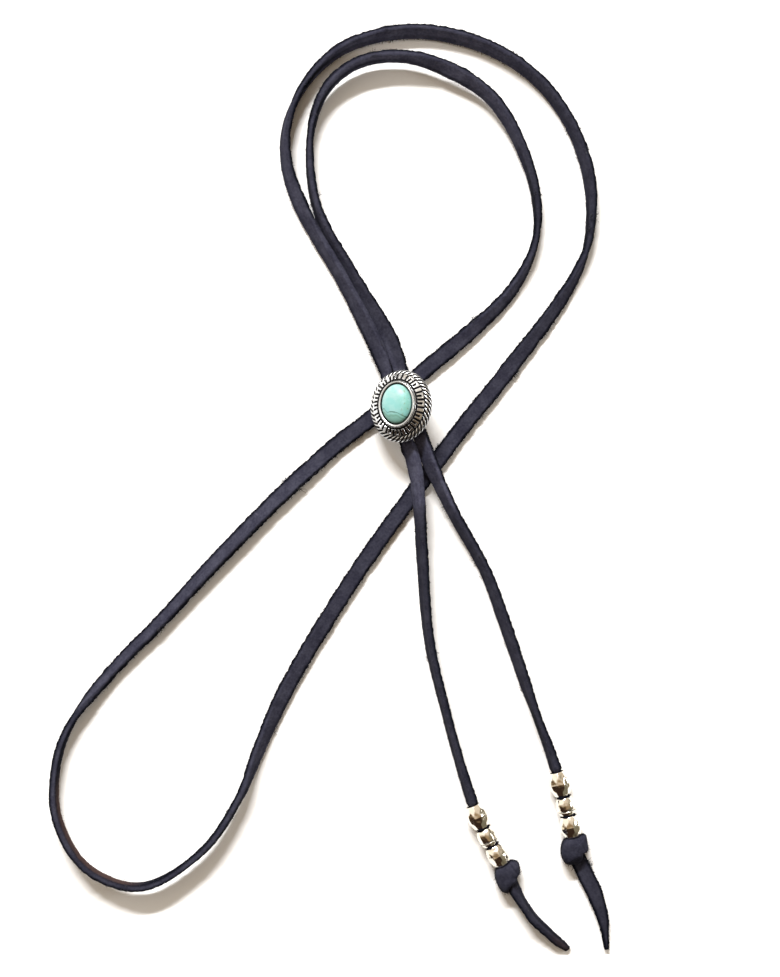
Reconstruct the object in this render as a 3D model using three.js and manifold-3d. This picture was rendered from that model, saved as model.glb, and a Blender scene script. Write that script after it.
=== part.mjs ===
// Wrap choker of one flat suede lace: two loops drawn through an oval slide with a domed stone,
// and two tails that end in three metal beads, an overhand knot and a pointed tip.
// It lies on a flat surface at z = 0. Millimetres, +Z up.
import * as THREE from 'three';
import { mergeVertices } from 'three/addons/utils/BufferGeometryUtils.js';
import Module from 'manifold-3d';

const wasm = await Module();
wasm.setup();

// Driving dimensions, in millimetres and degrees.
const GAP = 0.3;             // clearance between pieces that touch
const LACE_WIDTH = 4.8;
const LACE_THICK = 2.0;
const LONGEST_STEP = 24;     // longest straight step of the lace
const TURN_PER_STEP = 14;    // most turn of the lace in one step
const ROLL_EASE = 0.25;      // how far the lift and roll run on past a row before they turn
const SEARCH_STEP = 0.005;   // of a row
const BEAD_BORE = 1.95;      // radius
const BEAD_HEIGHT = 3.25;    // of a bead's axis over the surface
const UPPER_BEAD = { radius: 3.25, length: 7.0 };
const LOWER_BEAD = { radius: 3.25, length: 6.2 };
const SMALL_BEAD = { radius: 2.85, length: 5.2 };
const BEAD_SIDES = 16;

const SLIDE_CENTRE = [21.7, 23.45, 7.0];   // middle of the slide's flat back
const SLIDE_RISE = { x: 0.40, y: -0.15 };   // how its back climbs along X and Y
const SLIDE_TURN = 4.5;                     // lean of its long axis, top to the left
const BEZEL = { a: 5.7, b: 6.9, top: 5.4 };  // half width and half length of its outside, and height
const STONE = { a: 4.55, b: 5.8, foot: 3.9, girdle: 4.9, top: 6.9 };
const DOME_POWER = 0.85;     // under 1, the stone's dome is fuller than an ellipse
const STONE_SIDES = 32;
const SEAT = { floor: 3.6, depth: 4, sides: 40 };
const BAND = { outer: 2.15, low: 3.1, inner: 0.3, high: 4.3 };   // sloping band, as offsets
const ROPE = {
  offset: 2.5, radius: 1.25, height: 1.4, strands: 44, turns: 4, relief: 0.13, sides: 8, perStrand: 4,
};
const KEYS = {
  count: 24, width: 1.5, length: 1.95, from: 0.08, slot: 0.6, floor: 0.6, proud: 0.3, sunk: 0.35,
};
const PLAIN_KEYS = [0, 1, 4, 8, 11, 13];    // keys without a slot
const SLIDE_SIDES = 40;
const KEEPER = { from: 2.0, to: 6.0, half: 4.45, wall: 0.8, room: 2.6, sunk: 0.2 };
const CHANNEL_TURN = 15.7;                  // of the keeper about the slide's normal

// The lace, from the left knot to the right knot. lift is the space under its lowest edge.
// roll turns it about its own line, with the edge on the left of the way forward going up.
// Columns: x, y, lift, roll, width, thick.
const LEFT_TAIL = [
  [52.6, -112.6, 1.9, -72, 2.6, 2.1],
  [46.5, -102.6, 1.85, -72, 2.6, 2.1],
  [42.3, -93.2, 1.85, -72, 2.6, 2.1],
  [42.05, -92.4, 1.1, -70, 4.3, 2.4],
  [38.95, -82.5, 0, -72],
  [34.35, -65.9, 0, -76],
  [29.5, -44.9, 0, -72],
  [27.4, -20.1, 0.6, -66],
  [26.6, -6.0, 2.4, -62],
  [25.7, 2.8, 2.9, -56],
  [24.4, 9.0, 4.1, -48, 4.4],
  [22.8, 13.0, 5.4, -24, 4.1],
  [22.0, 16.5, 5.33, -17.8, 4.0],
  [19.67, 24.6, 3.18, -17.8, 4.0],
  [17.36, 32.6, 1.06, -17.8, 4.0],
];
const OUTER_LOOP = [
  [14.1, 41.0, 0.3, -30, 4.3],
  [11.5, 46.6, 0.1, -38, 4.5],
  [2.9, 63.0, 0, -55],
  [-3.4, 73.5, 0, -55],
  [-8.8, 84.0, 0, -46],
  [-12.3, 94.6, 0, -61],
  [-12.5, 105.4, 0, -72],
  [-7.6, 117.8, 0, -91],
  [3.5, 128.8, 0, -107],
  [21.5, 134.0, 0, -122],
  [40.1, 131.85, 0, -123],
  [57.5, 123.2, 0, -115],
  [70.0, 108.7, 0, -112],
  [76.6, 90.4, 0, -114],
  [76.3, 72.6, 0, -97, 3.4, 2.1],
  [73.0, 63.4, 0, -63, 3.7],
  [67.3, 53.8, 0, -38, 4.1],
  [54.1, 36.3, 0, -26],
  [37.1, 14.9, 0, 0],
  [22.9, -4.3, 0, 0],
];
const LOWER_LOOP = [
  [7.2, -26.6, 0, -16],
  [-12.4, -59.0, 0, -33],
  [-20.9, -77.8, 0.2, -61],
  [-25.95, -90.35, 1.9, -80, 4.0, 2.1],
  [-36.9, -106.4, 2.8, -83, 3.5, 2.15],
  [-55.0, -116.85, 3.4, -92, 3.4, 2.2],
  [-71.1, -111.35, 2.7, -98, 3.5, 2.15],
  [-79.7, -97.0, 1.8, -101, 3.6, 2.1],
  [-80.25, -82.8, 1.0, -97, 3.6, 2.1],
  [-76.5, -70.6, 0.8, -93, 3.6, 2.1],
  [-64.7, -54.9, 0.1, -35, 3.6],
  [-50.0, -39.8, 0.1, -36, 4.0],
  [-31.4, -19.75, 0, -36],
  [-12.45, -0.65, 0, -22],
  [3.55, 13.65, 0, 0],
  [12.3, 20.4, 0, 0],
];
const INNER_LOOP = [
  [28.7, 35.0, 0, 0],
  [41.5, 45.7, 0, 30, 4.6],
  [53.4, 57.5, 0, 48, 3.75],
  [60.25, 70.8, 0, 83, 3.5, 2.1],
  [61.2, 83.1, 0.2, 100, 3.8, 2.1],
  [56.5, 100.1, 0.6, 112],
  [47.5, 114.4, 1.5, 121],
  [35.8, 122.15, 2.1, 139],
  [22.4, 126.1, 2.6, 114, 4.4, 2.15],
  [9.2, 124.6, 2.5, 108, 4.3, 2.15],
  [-0.1, 117.8, 2.0, 105, 4.0, 2.15],
  [-4.8, 107.4, 0.8, 94, 3.8, 2.1],
  [-5.6, 94.9, 0, 79, 4.2, 2.05],
  [-3.8, 83.4, 0, 74],
  [-0.6, 75.2, 0, 64],
  [5.5, 64.5, 0, 52],
  [15.1, 48.5, 0.2, 37, 4.6],
  [18.25, 42.9, 0.8, 30, 4.3],
];
const RIGHT_TAIL = [
  [21.2, 34.0, 2.39, 17.8, 4.0],
  [23.54, 25.95, 4.53, 17.8, 4.0],
  [25.86, 17.9, 6.66, 17.8, 4.0],
  [27.0, 14.5, 6.2, 22, 4.1],
  [28.8, 9.3, 4.5, 44, 4.4],
  [32.2, 1.6, 2.8, 54],
  [37.4, -9.0, 1.4, 65],
  [45.9, -24.3, 0, 66],
  [51.8, -40.1, 0, 62],
  [57.4, -56.6, 0, 68],
  [61.2, -67.5, 0, 82],
  [65.3, -78.4, 0.2, 74, 4.6, 2.2],
  [66.55, -82.5, 1.1, 72, 4.3, 2.4],
  [66.8, -83.4, 1.85, 72, 2.6, 2.1],
  [69.5, -93.5, 1.85, 72, 2.6, 2.1],
  [72.4, -104.6, 1.9, 72, 2.6, 2.1],
];
const ROUTE = [...LEFT_TAIL, ...OUTER_LOOP, ...LOWER_LOOP, ...INNER_LOOP, ...RIGHT_TAIL];

// The cut ends past the knots, in the same columns.
const LEFT_TIP = [
  [52.2, -112.8, 1.2, -40, 3.6, 1.8],
  [54.3, -117.4, 0.4, -62, 4.4],
  [56.9, -122.1, 0, -76],
  [60.15, -126.75, 0, -76],
  [64.15, -130.65, 0, -75, 3.9],
  [67.25, -133.45, 0, -73, 3.0],
  [70.5, -136.1, 0, -66, 1.2, 1.4],
];
const RIGHT_TIP = [
  [72.1, -104.2, 1.2, 10, 3.6, 1.8],
  [73.3, -109.0, 0.4, 10, 4.4],
  [74.9, -112.6, 0, 8],
  [77.9, -118.8, 0, 5],
  [80.15, -125.1, 0, 0, 3.7],
  [81.2, -130.0, 0, 0, 2.6],
  [81.85, -136.1, 0, 0, 1.1, 1.4],
];

// The wrap of each overhand knot, about the lace that comes down out of the beads.
// Columns: along (towards the tip), side, height.
const KNOT_WRAP = [
  [2.3, 0.0, 3.1],
  [2.8, 1.4, 3.0],
  [1.0, 2.4, 3.4],
  [-1.5, 2.8, 4.2],
  [-2.3, 0.2, 4.75],
  [-1.5, -2.7, 3.7],
  [1.0, -2.9, 2.5],
  [2.8, -1.3, 1.85],
];
const KNOT_BAND = { width: 3.7, thick: 1.8 };
const KNOT_HEART = [0, 0, 3];
const KNOT_CORE = { radius: 2.3, sides: 10, rings: 6 };
const LEFT_KNOT = { x: 52.9, y: -114.2, heading: -58, side: 1 };
const RIGHT_KNOT = { x: 72.3, y: -106.4, heading: -72, side: 1 };

const COLOURS = {
  suede: { color: 0x2a2830, roughness: 0.95, metalness: 0 },
  silver: { color: 0xa9a59c, roughness: 0.32, metalness: 1 },
  steel: { color: 0xd9d2c6, roughness: 0.12, metalness: 1 },
  turquoise: { color: 0x9fe0d0, roughness: 0.25, metalness: 0 },
};

const UP = new THREE.Vector3(0, 0, 1);
const radians = THREE.MathUtils.degToRad;

// A closed geometry as a solid: shared corners merged, empty triangles dropped, faces outwards.
function solid(geometry) {
  const plain = geometry.clone();
  plain.deleteAttribute('normal');
  plain.deleteAttribute('uv');
  const merged = mergeVertices(plain, 1e-5);
  const corners = merged.index.array;
  const kept = [];
  for (let i = 0; i < corners.length; i += 3) {
    const [a, b, c] = corners.slice(i, i + 3);
    if (a !== b && b !== c && c !== a) {
      kept.push(a, b, c);
    }
  }
  const places = new Float32Array(merged.attributes.position.array);
  const make = (triangles) => new wasm.Manifold(new wasm.Mesh({
    numProp: 3,
    vertProperties: places,
    triVerts: new Uint32Array(triangles),
  }));
  const body = make(kept);
  return body.volume() > 0 ? body : make(kept.reverse());
}

// A named mesh of a solid, in its own material.
function piece(name, body, finish) {
  const { numProp, vertProperties, triVerts } = body.getMesh();
  const geometry = new THREE.BufferGeometry();
  const places = [];
  for (let i = 0; i < vertProperties.length; i += numProp) {
    places.push(...vertProperties.slice(i, i + 3));
  }
  geometry.setAttribute('position', new THREE.Float32BufferAttribute(places, 3));
  geometry.setIndex([...triVerts]);
  geometry.computeVertexNormals();
  const mesh = new THREE.Mesh(geometry, new THREE.MeshStandardMaterial(COLOURS[finish]));
  mesh.name = name;
  return mesh;
}

// Section of the lace, one wide and one thick, with its corners taken off.
const SECTION_POINTS = [
  [0.5, 0.22], [0.38, 0.5], [-0.38, 0.5], [-0.5, 0.22],
  [-0.5, -0.22], [-0.38, -0.5], [0.38, -0.5], [0.5, -0.22],
];
const SECTION = new THREE.Shape(SECTION_POINTS.map(([x, y]) => new THREE.Vector2(x, y)));

// A line for ExtrudeGeometry whose stations each carry their own width and thickness vectors.
class BandPath extends THREE.Curve {
  constructor(stations) {
    super();
    this.stations = stations;
  }

  getPoint(t) {
    return this.stations[Math.round(t * (this.stations.length - 1))].point.clone();
  }

  getSpacedPoints() {
    return this.stations.map((station) => station.point.clone());
  }

  computeFrenetFrames() {
    return {
      tangents: this.stations.map((station) => station.ahead),
      normals: this.stations.map((station) => station.across),
      binormals: this.stations.map((station) => station.through),
    };
  }
}

function band(stations) {
  const options = { steps: stations.length - 1, extrudePath: new BandPath(stations) };
  return solid(new THREE.ExtrudeGeometry(SECTION, options));
}

// The lace as a curve: a plan line and a line of its other columns, over the same rows.
class Lace {
  constructor(rows) {
    const full = rows.map(([x, y, lift, roll, width = LACE_WIDTH, thick = LACE_THICK]) => (
      { x, y, lift, roll, width, thick }));
    this.last = full.length - 1;
    const plan = full.map((row) => new THREE.Vector3(row.x, row.y, 0));
    this.plan = new THREE.CatmullRomCurve3(plan, false, 'centripetal');
    const lean = full.map((row) => new THREE.Vector3(row.lift, row.roll, 0));
    this.lean = new THREE.CatmullRomCurve3(lean, false, 'catmullrom', ROLL_EASE);
    this.full = full;
  }

  // Place and vectors at a row number, which may be a fraction.
  station(at) {
    const t = at / this.last;
    const low = this.full[Math.min(Math.floor(at), this.last - 1)];
    const high = this.full[Math.min(Math.floor(at) + 1, this.last)];
    const share = at - Math.min(Math.floor(at), this.last - 1);
    const width = THREE.MathUtils.lerp(low.width, high.width, share);
    const thick = THREE.MathUtils.lerp(low.thick, high.thick, share);
    const { x: lift, y: roll } = this.lean.getPoint(t);
    const sine = Math.sin(radians(roll));
    const cosine = Math.cos(radians(roll));
    const drops = SECTION_POINTS.map(([x, y]) => x * width * sine + y * thick * cosine);
    const point = this.plan.getPoint(t).setZ(Math.max(lift, 0) + Math.max(...drops));
    const ahead = this.plan.getTangent(t);
    const left = UP.clone().cross(ahead);
    const across = left.multiplyScalar(cosine).addScaledVector(UP, sine);
    const through = ahead.clone().cross(across);
    return { point, ahead, across: across.multiplyScalar(width), through: through.multiplyScalar(thick) };
  }

  // Stations between two rows, closer together where the lace turns or rolls.
  stations(from = 0, to = this.last) {
    const list = [this.station(from)];
    for (let row = from; row < to; row += 1) {
      const start = this.station(row);
      const end = this.station(row + 1);
      const turn = THREE.MathUtils.radToDeg(start.ahead.angleTo(end.ahead));
      const steps = Math.max(
        1,
        Math.ceil(start.point.distanceTo(end.point) / LONGEST_STEP),
        Math.ceil(turn / TURN_PER_STEP),
      );
      for (let step = 1; step <= steps; step += 1) {
        list.push(this.station(row + step / steps));
      }
    }
    return list;
  }

  // The station that lies a distance along the plan line from a row.
  near(row, distance) {
    const way = Math.sign(distance);
    const origin = this.station(row).point;
    let at = row;
    while (this.station(at).point.distanceTo(origin) < Math.abs(distance)) {
      at += SEARCH_STEP * way;
    }
    return this.station(at);
  }
}

// A knot's wrap: a band that keeps its flat side turned away from the heart of the knot, round
// the rounded core that the crossed lace makes in it.
function knotWrap({ x, y, heading, side }) {
  const frame = new THREE.Matrix4().makeRotationZ(radians(heading)).setPosition(x, y, 0);
  const place = ([along, aside, height]) => (
    new THREE.Vector3(along, aside * side, height).applyMatrix4(frame));
  const heart = place(KNOT_HEART);
  const line = new THREE.CatmullRomCurve3(KNOT_WRAP.map(place), false, 'centripetal');
  const steps = 2 * (KNOT_WRAP.length - 1);
  const stations = [];
  for (let step = 0; step <= steps; step += 1) {
    const point = line.getPoint(step / steps);
    const ahead = line.getTangent(step / steps);
    const outward = point.clone().sub(heart);
    outward.addScaledVector(ahead, -outward.dot(ahead)).normalize();
    const across = outward.clone().cross(ahead);
    stations.push({
      point,
      ahead,
      across: across.multiplyScalar(KNOT_BAND.width),
      through: outward.multiplyScalar(KNOT_BAND.thick),
    });
  }
  const half = Math.ceil(steps / 2);
  const core = new THREE.SphereGeometry(KNOT_CORE.radius, KNOT_CORE.sides, KNOT_CORE.rings);
  return band(stations.slice(0, half + 1))
    .add(band(stations.slice(half)))
    .add(solid(core.translate(...heart.toArray())));
}

const lace = new Lace(ROUTE);

function makeLace() {
  return band(lace.stations())
    .add(knotWrap(LEFT_KNOT))
    .add(knotWrap(RIGHT_KNOT))
    .add(band(new Lace(LEFT_TIP).stations()))
    .add(band(new Lace(RIGHT_TIP).stations()));
}

// Carries a vertex at a radius and turn about +Z to the oval: inside the bezel's outline it is
// scaled, and outside it keeps its distance from the outline.
const ROUND = (BEZEL.a + BEZEL.b) / 2;

function onOval(radius, turn) {
  const inside = Math.min(radius, ROUND) / ROUND;
  const spot = new THREE.Vector2(BEZEL.a * inside * Math.cos(turn), BEZEL.b * inside * Math.sin(turn));
  const normal = new THREE.Vector2(Math.cos(turn) / BEZEL.a, Math.sin(turn) / BEZEL.b).normalize();
  return { spot: spot.addScaledVector(normal, Math.max(radius - ROUND, 0)), normal };
}

function toOval(geometry) {
  const places = geometry.attributes.position;
  for (let i = 0; i < places.count; i += 1) {
    const radius = Math.hypot(places.getX(i), places.getY(i));
    const { spot } = onOval(radius, Math.atan2(places.getY(i), places.getX(i)));
    places.setXY(i, spot.x, spot.y);
  }
  return geometry;
}

function lathe(profile, sides) {
  const points = profile.map(([radius, height]) => new THREE.Vector2(radius, height));
  return new THREE.LatheGeometry(points, sides).rotateX(Math.PI / 2);
}

// The slide's cast body: flat back, sloping band, groove and bezel wall.
function slideBody() {
  const profile = [
    [0, 0],
    [ROUND + 2.3, 0],
    [ROUND + 2.6, 0.6],
    [ROUND + 2.3, 1.5],
    [ROUND + BAND.outer, 2.0],
    [ROUND + BAND.outer, BAND.low],
    [ROUND + BAND.inner, BAND.high],
    [ROUND + 0.15, BAND.high - 0.05],
    [ROUND, BAND.high + 0.2],
    [ROUND, BEZEL.top - 0.4],
    [ROUND - 0.2, BEZEL.top],
    [ROUND - 0.6, BEZEL.top],
    [0, BEZEL.top],
  ];
  const seat = new THREE.CylinderGeometry(1, 1, SEAT.depth, SEAT.sides).rotateX(Math.PI / 2);
  seat.scale(STONE.a + GAP, STONE.b + GAP, 1).translate(0, 0, SEAT.floor + SEAT.depth / 2);
  return solid(toOval(lathe(profile, SLIDE_SIDES))).subtract(solid(seat));
}

// The rope edge: a ring whose surface rises and falls in slanting strands.
function ropeEdge() {
  const along = ROPE.strands * ROPE.perStrand;
  const ring = new THREE.TorusGeometry(ROUND + ROPE.offset, ROPE.radius, ROPE.sides, along);
  const places = ring.attributes.position;
  for (let i = 0; i < places.count; i += 1) {
    const turn = Math.atan2(places.getY(i), places.getX(i));
    const out = Math.hypot(places.getX(i), places.getY(i)) - ROUND - ROPE.offset;
    const around = Math.atan2(places.getZ(i), out);
    const wave = Math.cos(ROPE.strands * turn - ROPE.turns * around);
    const swell = 1 + ROPE.relief * wave;
    const radius = ROUND + ROPE.offset + out * swell;
    places.setXYZ(i, radius * Math.cos(turn), radius * Math.sin(turn), places.getZ(i) * swell);
  }
  return solid(toOval(ring).translate(0, 0, ROPE.height));
}

// One raised key of the sloping band, open towards the stone unless it is plain.
function key(index) {
  const { width, length, from, slot, floor, proud, sunk } = KEYS;
  const half = width / 2;
  const outline = [[-half, 0], [half, 0], [half, length], [-half, length]];
  if (!PLAIN_KEYS.includes(index)) {
    outline.splice(3, 0, [slot / 2, length], [slot / 2, floor], [-slot / 2, floor], [-slot / 2, length]);
  }
  const shape = new THREE.Shape(outline.map(([x, y]) => new THREE.Vector2(x, y)));
  const block = new THREE.ExtrudeGeometry(shape, { depth: proud + sunk, bevelEnabled: false });
  block.translate(0, from, -sunk);
  const turn = Math.PI / 2 - (2 * Math.PI * index) / KEYS.count;
  const { spot, normal } = onOval(ROUND + BAND.outer, turn);
  const inward = new THREE.Vector3(-normal.x, -normal.y, 0);
  const run = BAND.outer - BAND.inner;
  const upslope = inward.clone().multiplyScalar(run).addScaledVector(UP, BAND.high - BAND.low).normalize();
  const sideways = upslope.clone().cross(inward.cross(UP).cross(upslope)).normalize();
  const outward = sideways.clone().cross(upslope);
  const frame = new THREE.Matrix4().makeBasis(sideways, upslope, outward);
  frame.setPosition(spot.x, spot.y, BAND.low);
  return solid(block.applyMatrix4(frame));
}

// The plain loop behind the slide that holds both runs of lace to it.
function keeper() {
  const { from, to, half, wall, room, sunk } = KEEPER;
  const wide = half + wall;
  const outline = [
    [-wide, sunk], [-wide, -room - wall], [wide, -room - wall], [wide, sunk],
    [half, sunk], [half, -room], [-half, -room], [-half, sunk],
  ];
  const shape = new THREE.Shape(outline.map(([x, y]) => new THREE.Vector2(x, y)));
  const bar = new THREE.ExtrudeGeometry(shape, { depth: to - from, bevelEnabled: false });
  bar.rotateX(Math.PI / 2).translate(0, -from, 0).rotateZ(radians(CHANNEL_TURN));
  return solid(bar);
}

function makeSlide() {
  let body = slideBody().add(ropeEdge()).add(keeper());
  for (let index = 0; index < KEYS.count; index += 1) body = body.add(key(index));
  return body;
}

// The stone: an oval cabochon, straight at its foot and domed above.
function makeStone() {
  const rise = STONE.top - STONE.girdle;
  const profile = [[0, STONE.foot], [0.97, STONE.foot], [1, STONE.foot + 0.2]];
  for (const angle of [0, 22, 42, 60, 76]) {
    const across = Math.cos(radians(angle)) ** DOME_POWER;
    profile.push([across, STONE.girdle + rise * Math.sin(radians(angle))]);
  }
  profile.push([0, STONE.top]);
  return solid(lathe(profile, STONE_SIDES).scale(STONE.a, STONE.b, 1));
}

// Beads: rings turned about the lace, the large ones ridged and the small ones grooved barrels.
function makeBead({ radius, length }, large) {
  const half = length / 2;
  const outside = large
    ? [[radius * 0.67, -half], [radius * 0.88, -half * 0.5], [radius, 0],
      [radius * 0.88, half * 0.5], [radius * 0.67, half]]
    : [[radius * 0.8, -half], [radius * 0.98, -half * 0.55], [radius, half * 0.1],
      [radius * 0.98, half * 0.45], [radius * 0.9, half * 0.55], [radius * 0.96, half * 0.68],
      [radius * 0.8, half]];
  const profile = [[BEAD_BORE, -half], ...outside, [BEAD_BORE, half], [BEAD_BORE, -half]];
  const points = profile.map(([across, height]) => new THREE.Vector2(across, height));
  return solid(new THREE.LatheGeometry(points, BEAD_SIDES));
}

const group = new THREE.Group();
group.add(piece('lace', makeLace(), 'suede'));

// The slide and its stone stand in a frame turned with the slide's back.
const normal = new THREE.Vector3(-SLIDE_RISE.x, -SLIDE_RISE.y, 1).normalize();
const lean = new THREE.Vector3(-Math.sin(radians(SLIDE_TURN)), Math.cos(radians(SLIDE_TURN)), 0);
const long = lean.addScaledVector(normal, -lean.dot(normal)).normalize();
const slide = new THREE.Group();
slide.quaternion.setFromRotationMatrix(
  new THREE.Matrix4().makeBasis(long.clone().cross(normal), long, normal));
slide.position.set(...SLIDE_CENTRE);
slide.add(piece('slide', makeSlide(), 'silver'));
slide.add(piece('stone', makeStone(), 'turquoise'));
group.add(slide);

// Beads of each tail, by their distance along the lace from the row of the middle bead.
const MIDDLE_ROW = { left: 1, right: ROUTE.length - 2 };
const BEADS = [
  { name: 'bead_left_upper', tail: 'left', along: 6.7, size: UPPER_BEAD },
  { name: 'bead_left_middle', tail: 'left', along: 0, size: SMALL_BEAD },
  { name: 'bead_left_lower', tail: 'left', along: -6.15, size: LOWER_BEAD },
  { name: 'bead_right_upper', tail: 'right', along: -6.8, size: UPPER_BEAD },
  { name: 'bead_right_middle', tail: 'right', along: 0, size: SMALL_BEAD },
  { name: 'bead_right_lower', tail: 'right', along: 6.05, size: LOWER_BEAD },
];
for (const { name, tail, along, size } of BEADS) {
  const { point, ahead } = lace.near(MIDDLE_ROW[tail], along);
  const bead = piece(name, makeBead(size, size !== SMALL_BEAD), 'steel');
  bead.position.copy(point).setZ(BEAD_HEIGHT);
  if (tail === 'left') ahead.negate();
  bead.quaternion.setFromUnitVectors(new THREE.Vector3(0, 1, 0), ahead);
  group.add(bead);
}

export default group;
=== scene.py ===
import math

import bpy
import numpy as np
from bpy.props import FloatProperty, FloatVectorProperty, IntProperty, PointerProperty
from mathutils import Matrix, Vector


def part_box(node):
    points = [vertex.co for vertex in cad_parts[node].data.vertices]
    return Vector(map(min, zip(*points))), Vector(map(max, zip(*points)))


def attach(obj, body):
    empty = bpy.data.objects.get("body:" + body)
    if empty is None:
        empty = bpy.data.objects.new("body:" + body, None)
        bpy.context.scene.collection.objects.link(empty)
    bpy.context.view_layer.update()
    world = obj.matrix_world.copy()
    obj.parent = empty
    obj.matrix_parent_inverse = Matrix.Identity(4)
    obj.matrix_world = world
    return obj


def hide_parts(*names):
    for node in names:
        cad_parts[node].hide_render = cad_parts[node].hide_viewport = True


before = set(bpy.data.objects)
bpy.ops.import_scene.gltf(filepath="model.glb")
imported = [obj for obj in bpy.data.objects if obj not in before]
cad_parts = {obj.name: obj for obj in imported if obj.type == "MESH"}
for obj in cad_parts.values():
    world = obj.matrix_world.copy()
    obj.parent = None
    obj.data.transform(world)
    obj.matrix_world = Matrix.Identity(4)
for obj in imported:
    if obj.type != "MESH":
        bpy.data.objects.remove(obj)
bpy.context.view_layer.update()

bl_info = {
    "name": "Wrap choker",
    "version": (1, 0, 0),
    "blender": (4, 5, 0),
    "location": "View3D > Sidebar > Choker",
    "description": "Suede wrap choker with beads, knots and an oval slide with a stone",
    "category": "Object",
}

MM = 0.001
UP = np.array([0.0, 0.0, 1.0])

# The lace, in millimetres and degrees. lift is the space under its lowest edge, and roll turns
# it about its own line, with the edge on the left of the way forward going up.
# Columns: x, y, lift, roll, width, thick.
LACE_WIDTH = 4.8
LACE_THICK = 2.0
LEFT_TIP = [
    [54.3, -117.4, 0.4, -62, 4.4], [56.9, -122.1, 0, -76], [60.15, -126.75, 0, -76],
    [64.15, -130.65, 0, -75, 3.9], [67.25, -133.45, 0, -73, 3.0],
    [70.5, -136.1, 0, -66, 1.2, 1.4],
]
LEFT_TAIL = [
    [52.6, -112.6, 1.9, -72, 2.6, 2.1], [46.5, -102.6, 1.85, -72, 2.6, 2.1],
    [42.3, -93.2, 1.85, -72, 2.6, 2.1], [42.05, -92.4, 1.1, -70, 4.3, 2.4],
    [38.95, -82.5, 0, -72], [34.35, -65.9, 0, -76], [29.5, -44.9, 0, -72],
    [27.4, -20.1, 0.6, -66], [26.6, -6.0, 2.4, -62], [25.7, 2.8, 2.9, -56],
    [24.4, 9.0, 4.1, -48, 4.4], [22.8, 13.0, 5.4, -24, 4.1], [22.0, 16.5, 5.33, -17.8, 4.0],
    [19.67, 24.6, 3.18, -17.8, 4.0], [17.36, 32.6, 1.06, -17.8, 4.0],
]
OUTER_LOOP = [
    [14.1, 41.0, 0.3, -30, 4.3], [11.5, 46.6, 0.1, -38, 4.5], [2.9, 63.0, 0, -55],
    [-3.4, 73.5, 0, -55], [-8.8, 84.0, 0, -46], [-12.3, 94.6, 0, -61], [-12.5, 105.4, 0, -72],
    [-7.6, 117.8, 0, -91], [3.5, 128.8, 0, -107], [21.5, 134.0, 0, -122],
    [40.1, 131.85, 0, -123], [57.5, 123.2, 0, -115], [70.0, 108.7, 0, -112],
    [76.6, 90.4, 0, -114], [76.3, 72.6, 0, -97, 3.4, 2.1], [73.0, 63.4, 0, -63, 3.7],
    [67.3, 53.8, 0, -38, 4.1], [54.1, 36.3, 0, -26], [37.1, 14.9, 0, 0], [22.9, -4.3, 0, 0],
]
LOWER_LOOP = [
    [7.2, -26.6, 0, -16], [-12.4, -59.0, 0, -33], [-20.9, -77.8, 0.2, -61],
    [-25.95, -90.35, 1.9, -80, 4.0, 2.1], [-36.9, -106.4, 2.8, -83, 3.5, 2.15],
    [-55.0, -116.85, 3.4, -92, 3.4, 2.2], [-71.1, -111.35, 2.7, -98, 3.5, 2.15],
    [-79.7, -97.0, 1.8, -101, 3.6, 2.1], [-80.25, -82.8, 1.0, -97, 3.6, 2.1],
    [-76.5, -70.6, 0.8, -93, 3.6, 2.1], [-64.7, -54.9, 0.1, -35, 3.6],
    [-50.0, -39.8, 0.1, -36, 4.0], [-31.4, -19.75, 0, -36], [-12.45, -0.65, 0, -22],
    [3.55, 13.65, 0, 0], [12.3, 20.4, 0, 0],
]
INNER_LOOP = [
    [28.7, 35.0, 0, 0], [41.5, 45.7, 0, 30, 4.6], [53.4, 57.5, 0, 48, 3.75],
    [60.25, 70.8, 0, 83, 3.5, 2.1], [61.2, 83.1, 0.2, 100, 3.8, 2.1], [56.5, 100.1, 0.6, 112],
    [47.5, 114.4, 1.5, 121], [35.8, 122.15, 2.1, 139], [22.4, 126.1, 2.6, 114, 4.4, 2.15],
    [9.2, 124.6, 2.5, 108, 4.3, 2.15], [-0.1, 117.8, 2.0, 105, 4.0, 2.15],
    [-4.8, 107.4, 0.8, 94, 3.8, 2.1], [-5.6, 94.9, 0, 79, 4.2, 2.05], [-3.8, 83.4, 0, 74],
    [-0.6, 75.2, 0, 64], [5.5, 64.5, 0, 52], [15.1, 48.5, 0.2, 37, 4.6],
    [18.25, 42.9, 0.8, 30, 4.3],
]
RIGHT_TAIL = [
    [21.2, 34.0, 2.39, 17.8, 4.0], [23.54, 25.95, 4.53, 17.8, 4.0],
    [25.86, 17.9, 6.66, 17.8, 4.0], [27.0, 14.5, 6.2, 22, 4.1], [28.8, 9.3, 4.5, 44, 4.4],
    [32.2, 1.6, 2.8, 54], [37.4, -9.0, 1.4, 65], [45.9, -24.3, 0, 66], [51.8, -40.1, 0, 62],
    [57.4, -56.6, 0, 68], [61.2, -67.5, 0, 82], [65.3, -78.4, 0.2, 74, 4.6, 2.2],
    [66.55, -82.5, 1.1, 72, 4.3, 2.4], [66.8, -83.4, 1.85, 72, 2.6, 2.1],
    [69.5, -93.5, 1.85, 72, 2.6, 2.1], [72.4, -104.6, 1.9, 72, 2.6, 2.1],
]
RIGHT_TIP = [
    [73.3, -109.0, 0.4, 10, 4.4], [74.9, -112.6, 0, 8], [77.9, -118.8, 0, 5],
    [80.15, -125.1, 0, 0, 3.7], [81.2, -130.0, 0, 0, 2.6], [81.85, -136.1, 0, 0, 1.1, 1.4],
]
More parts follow.
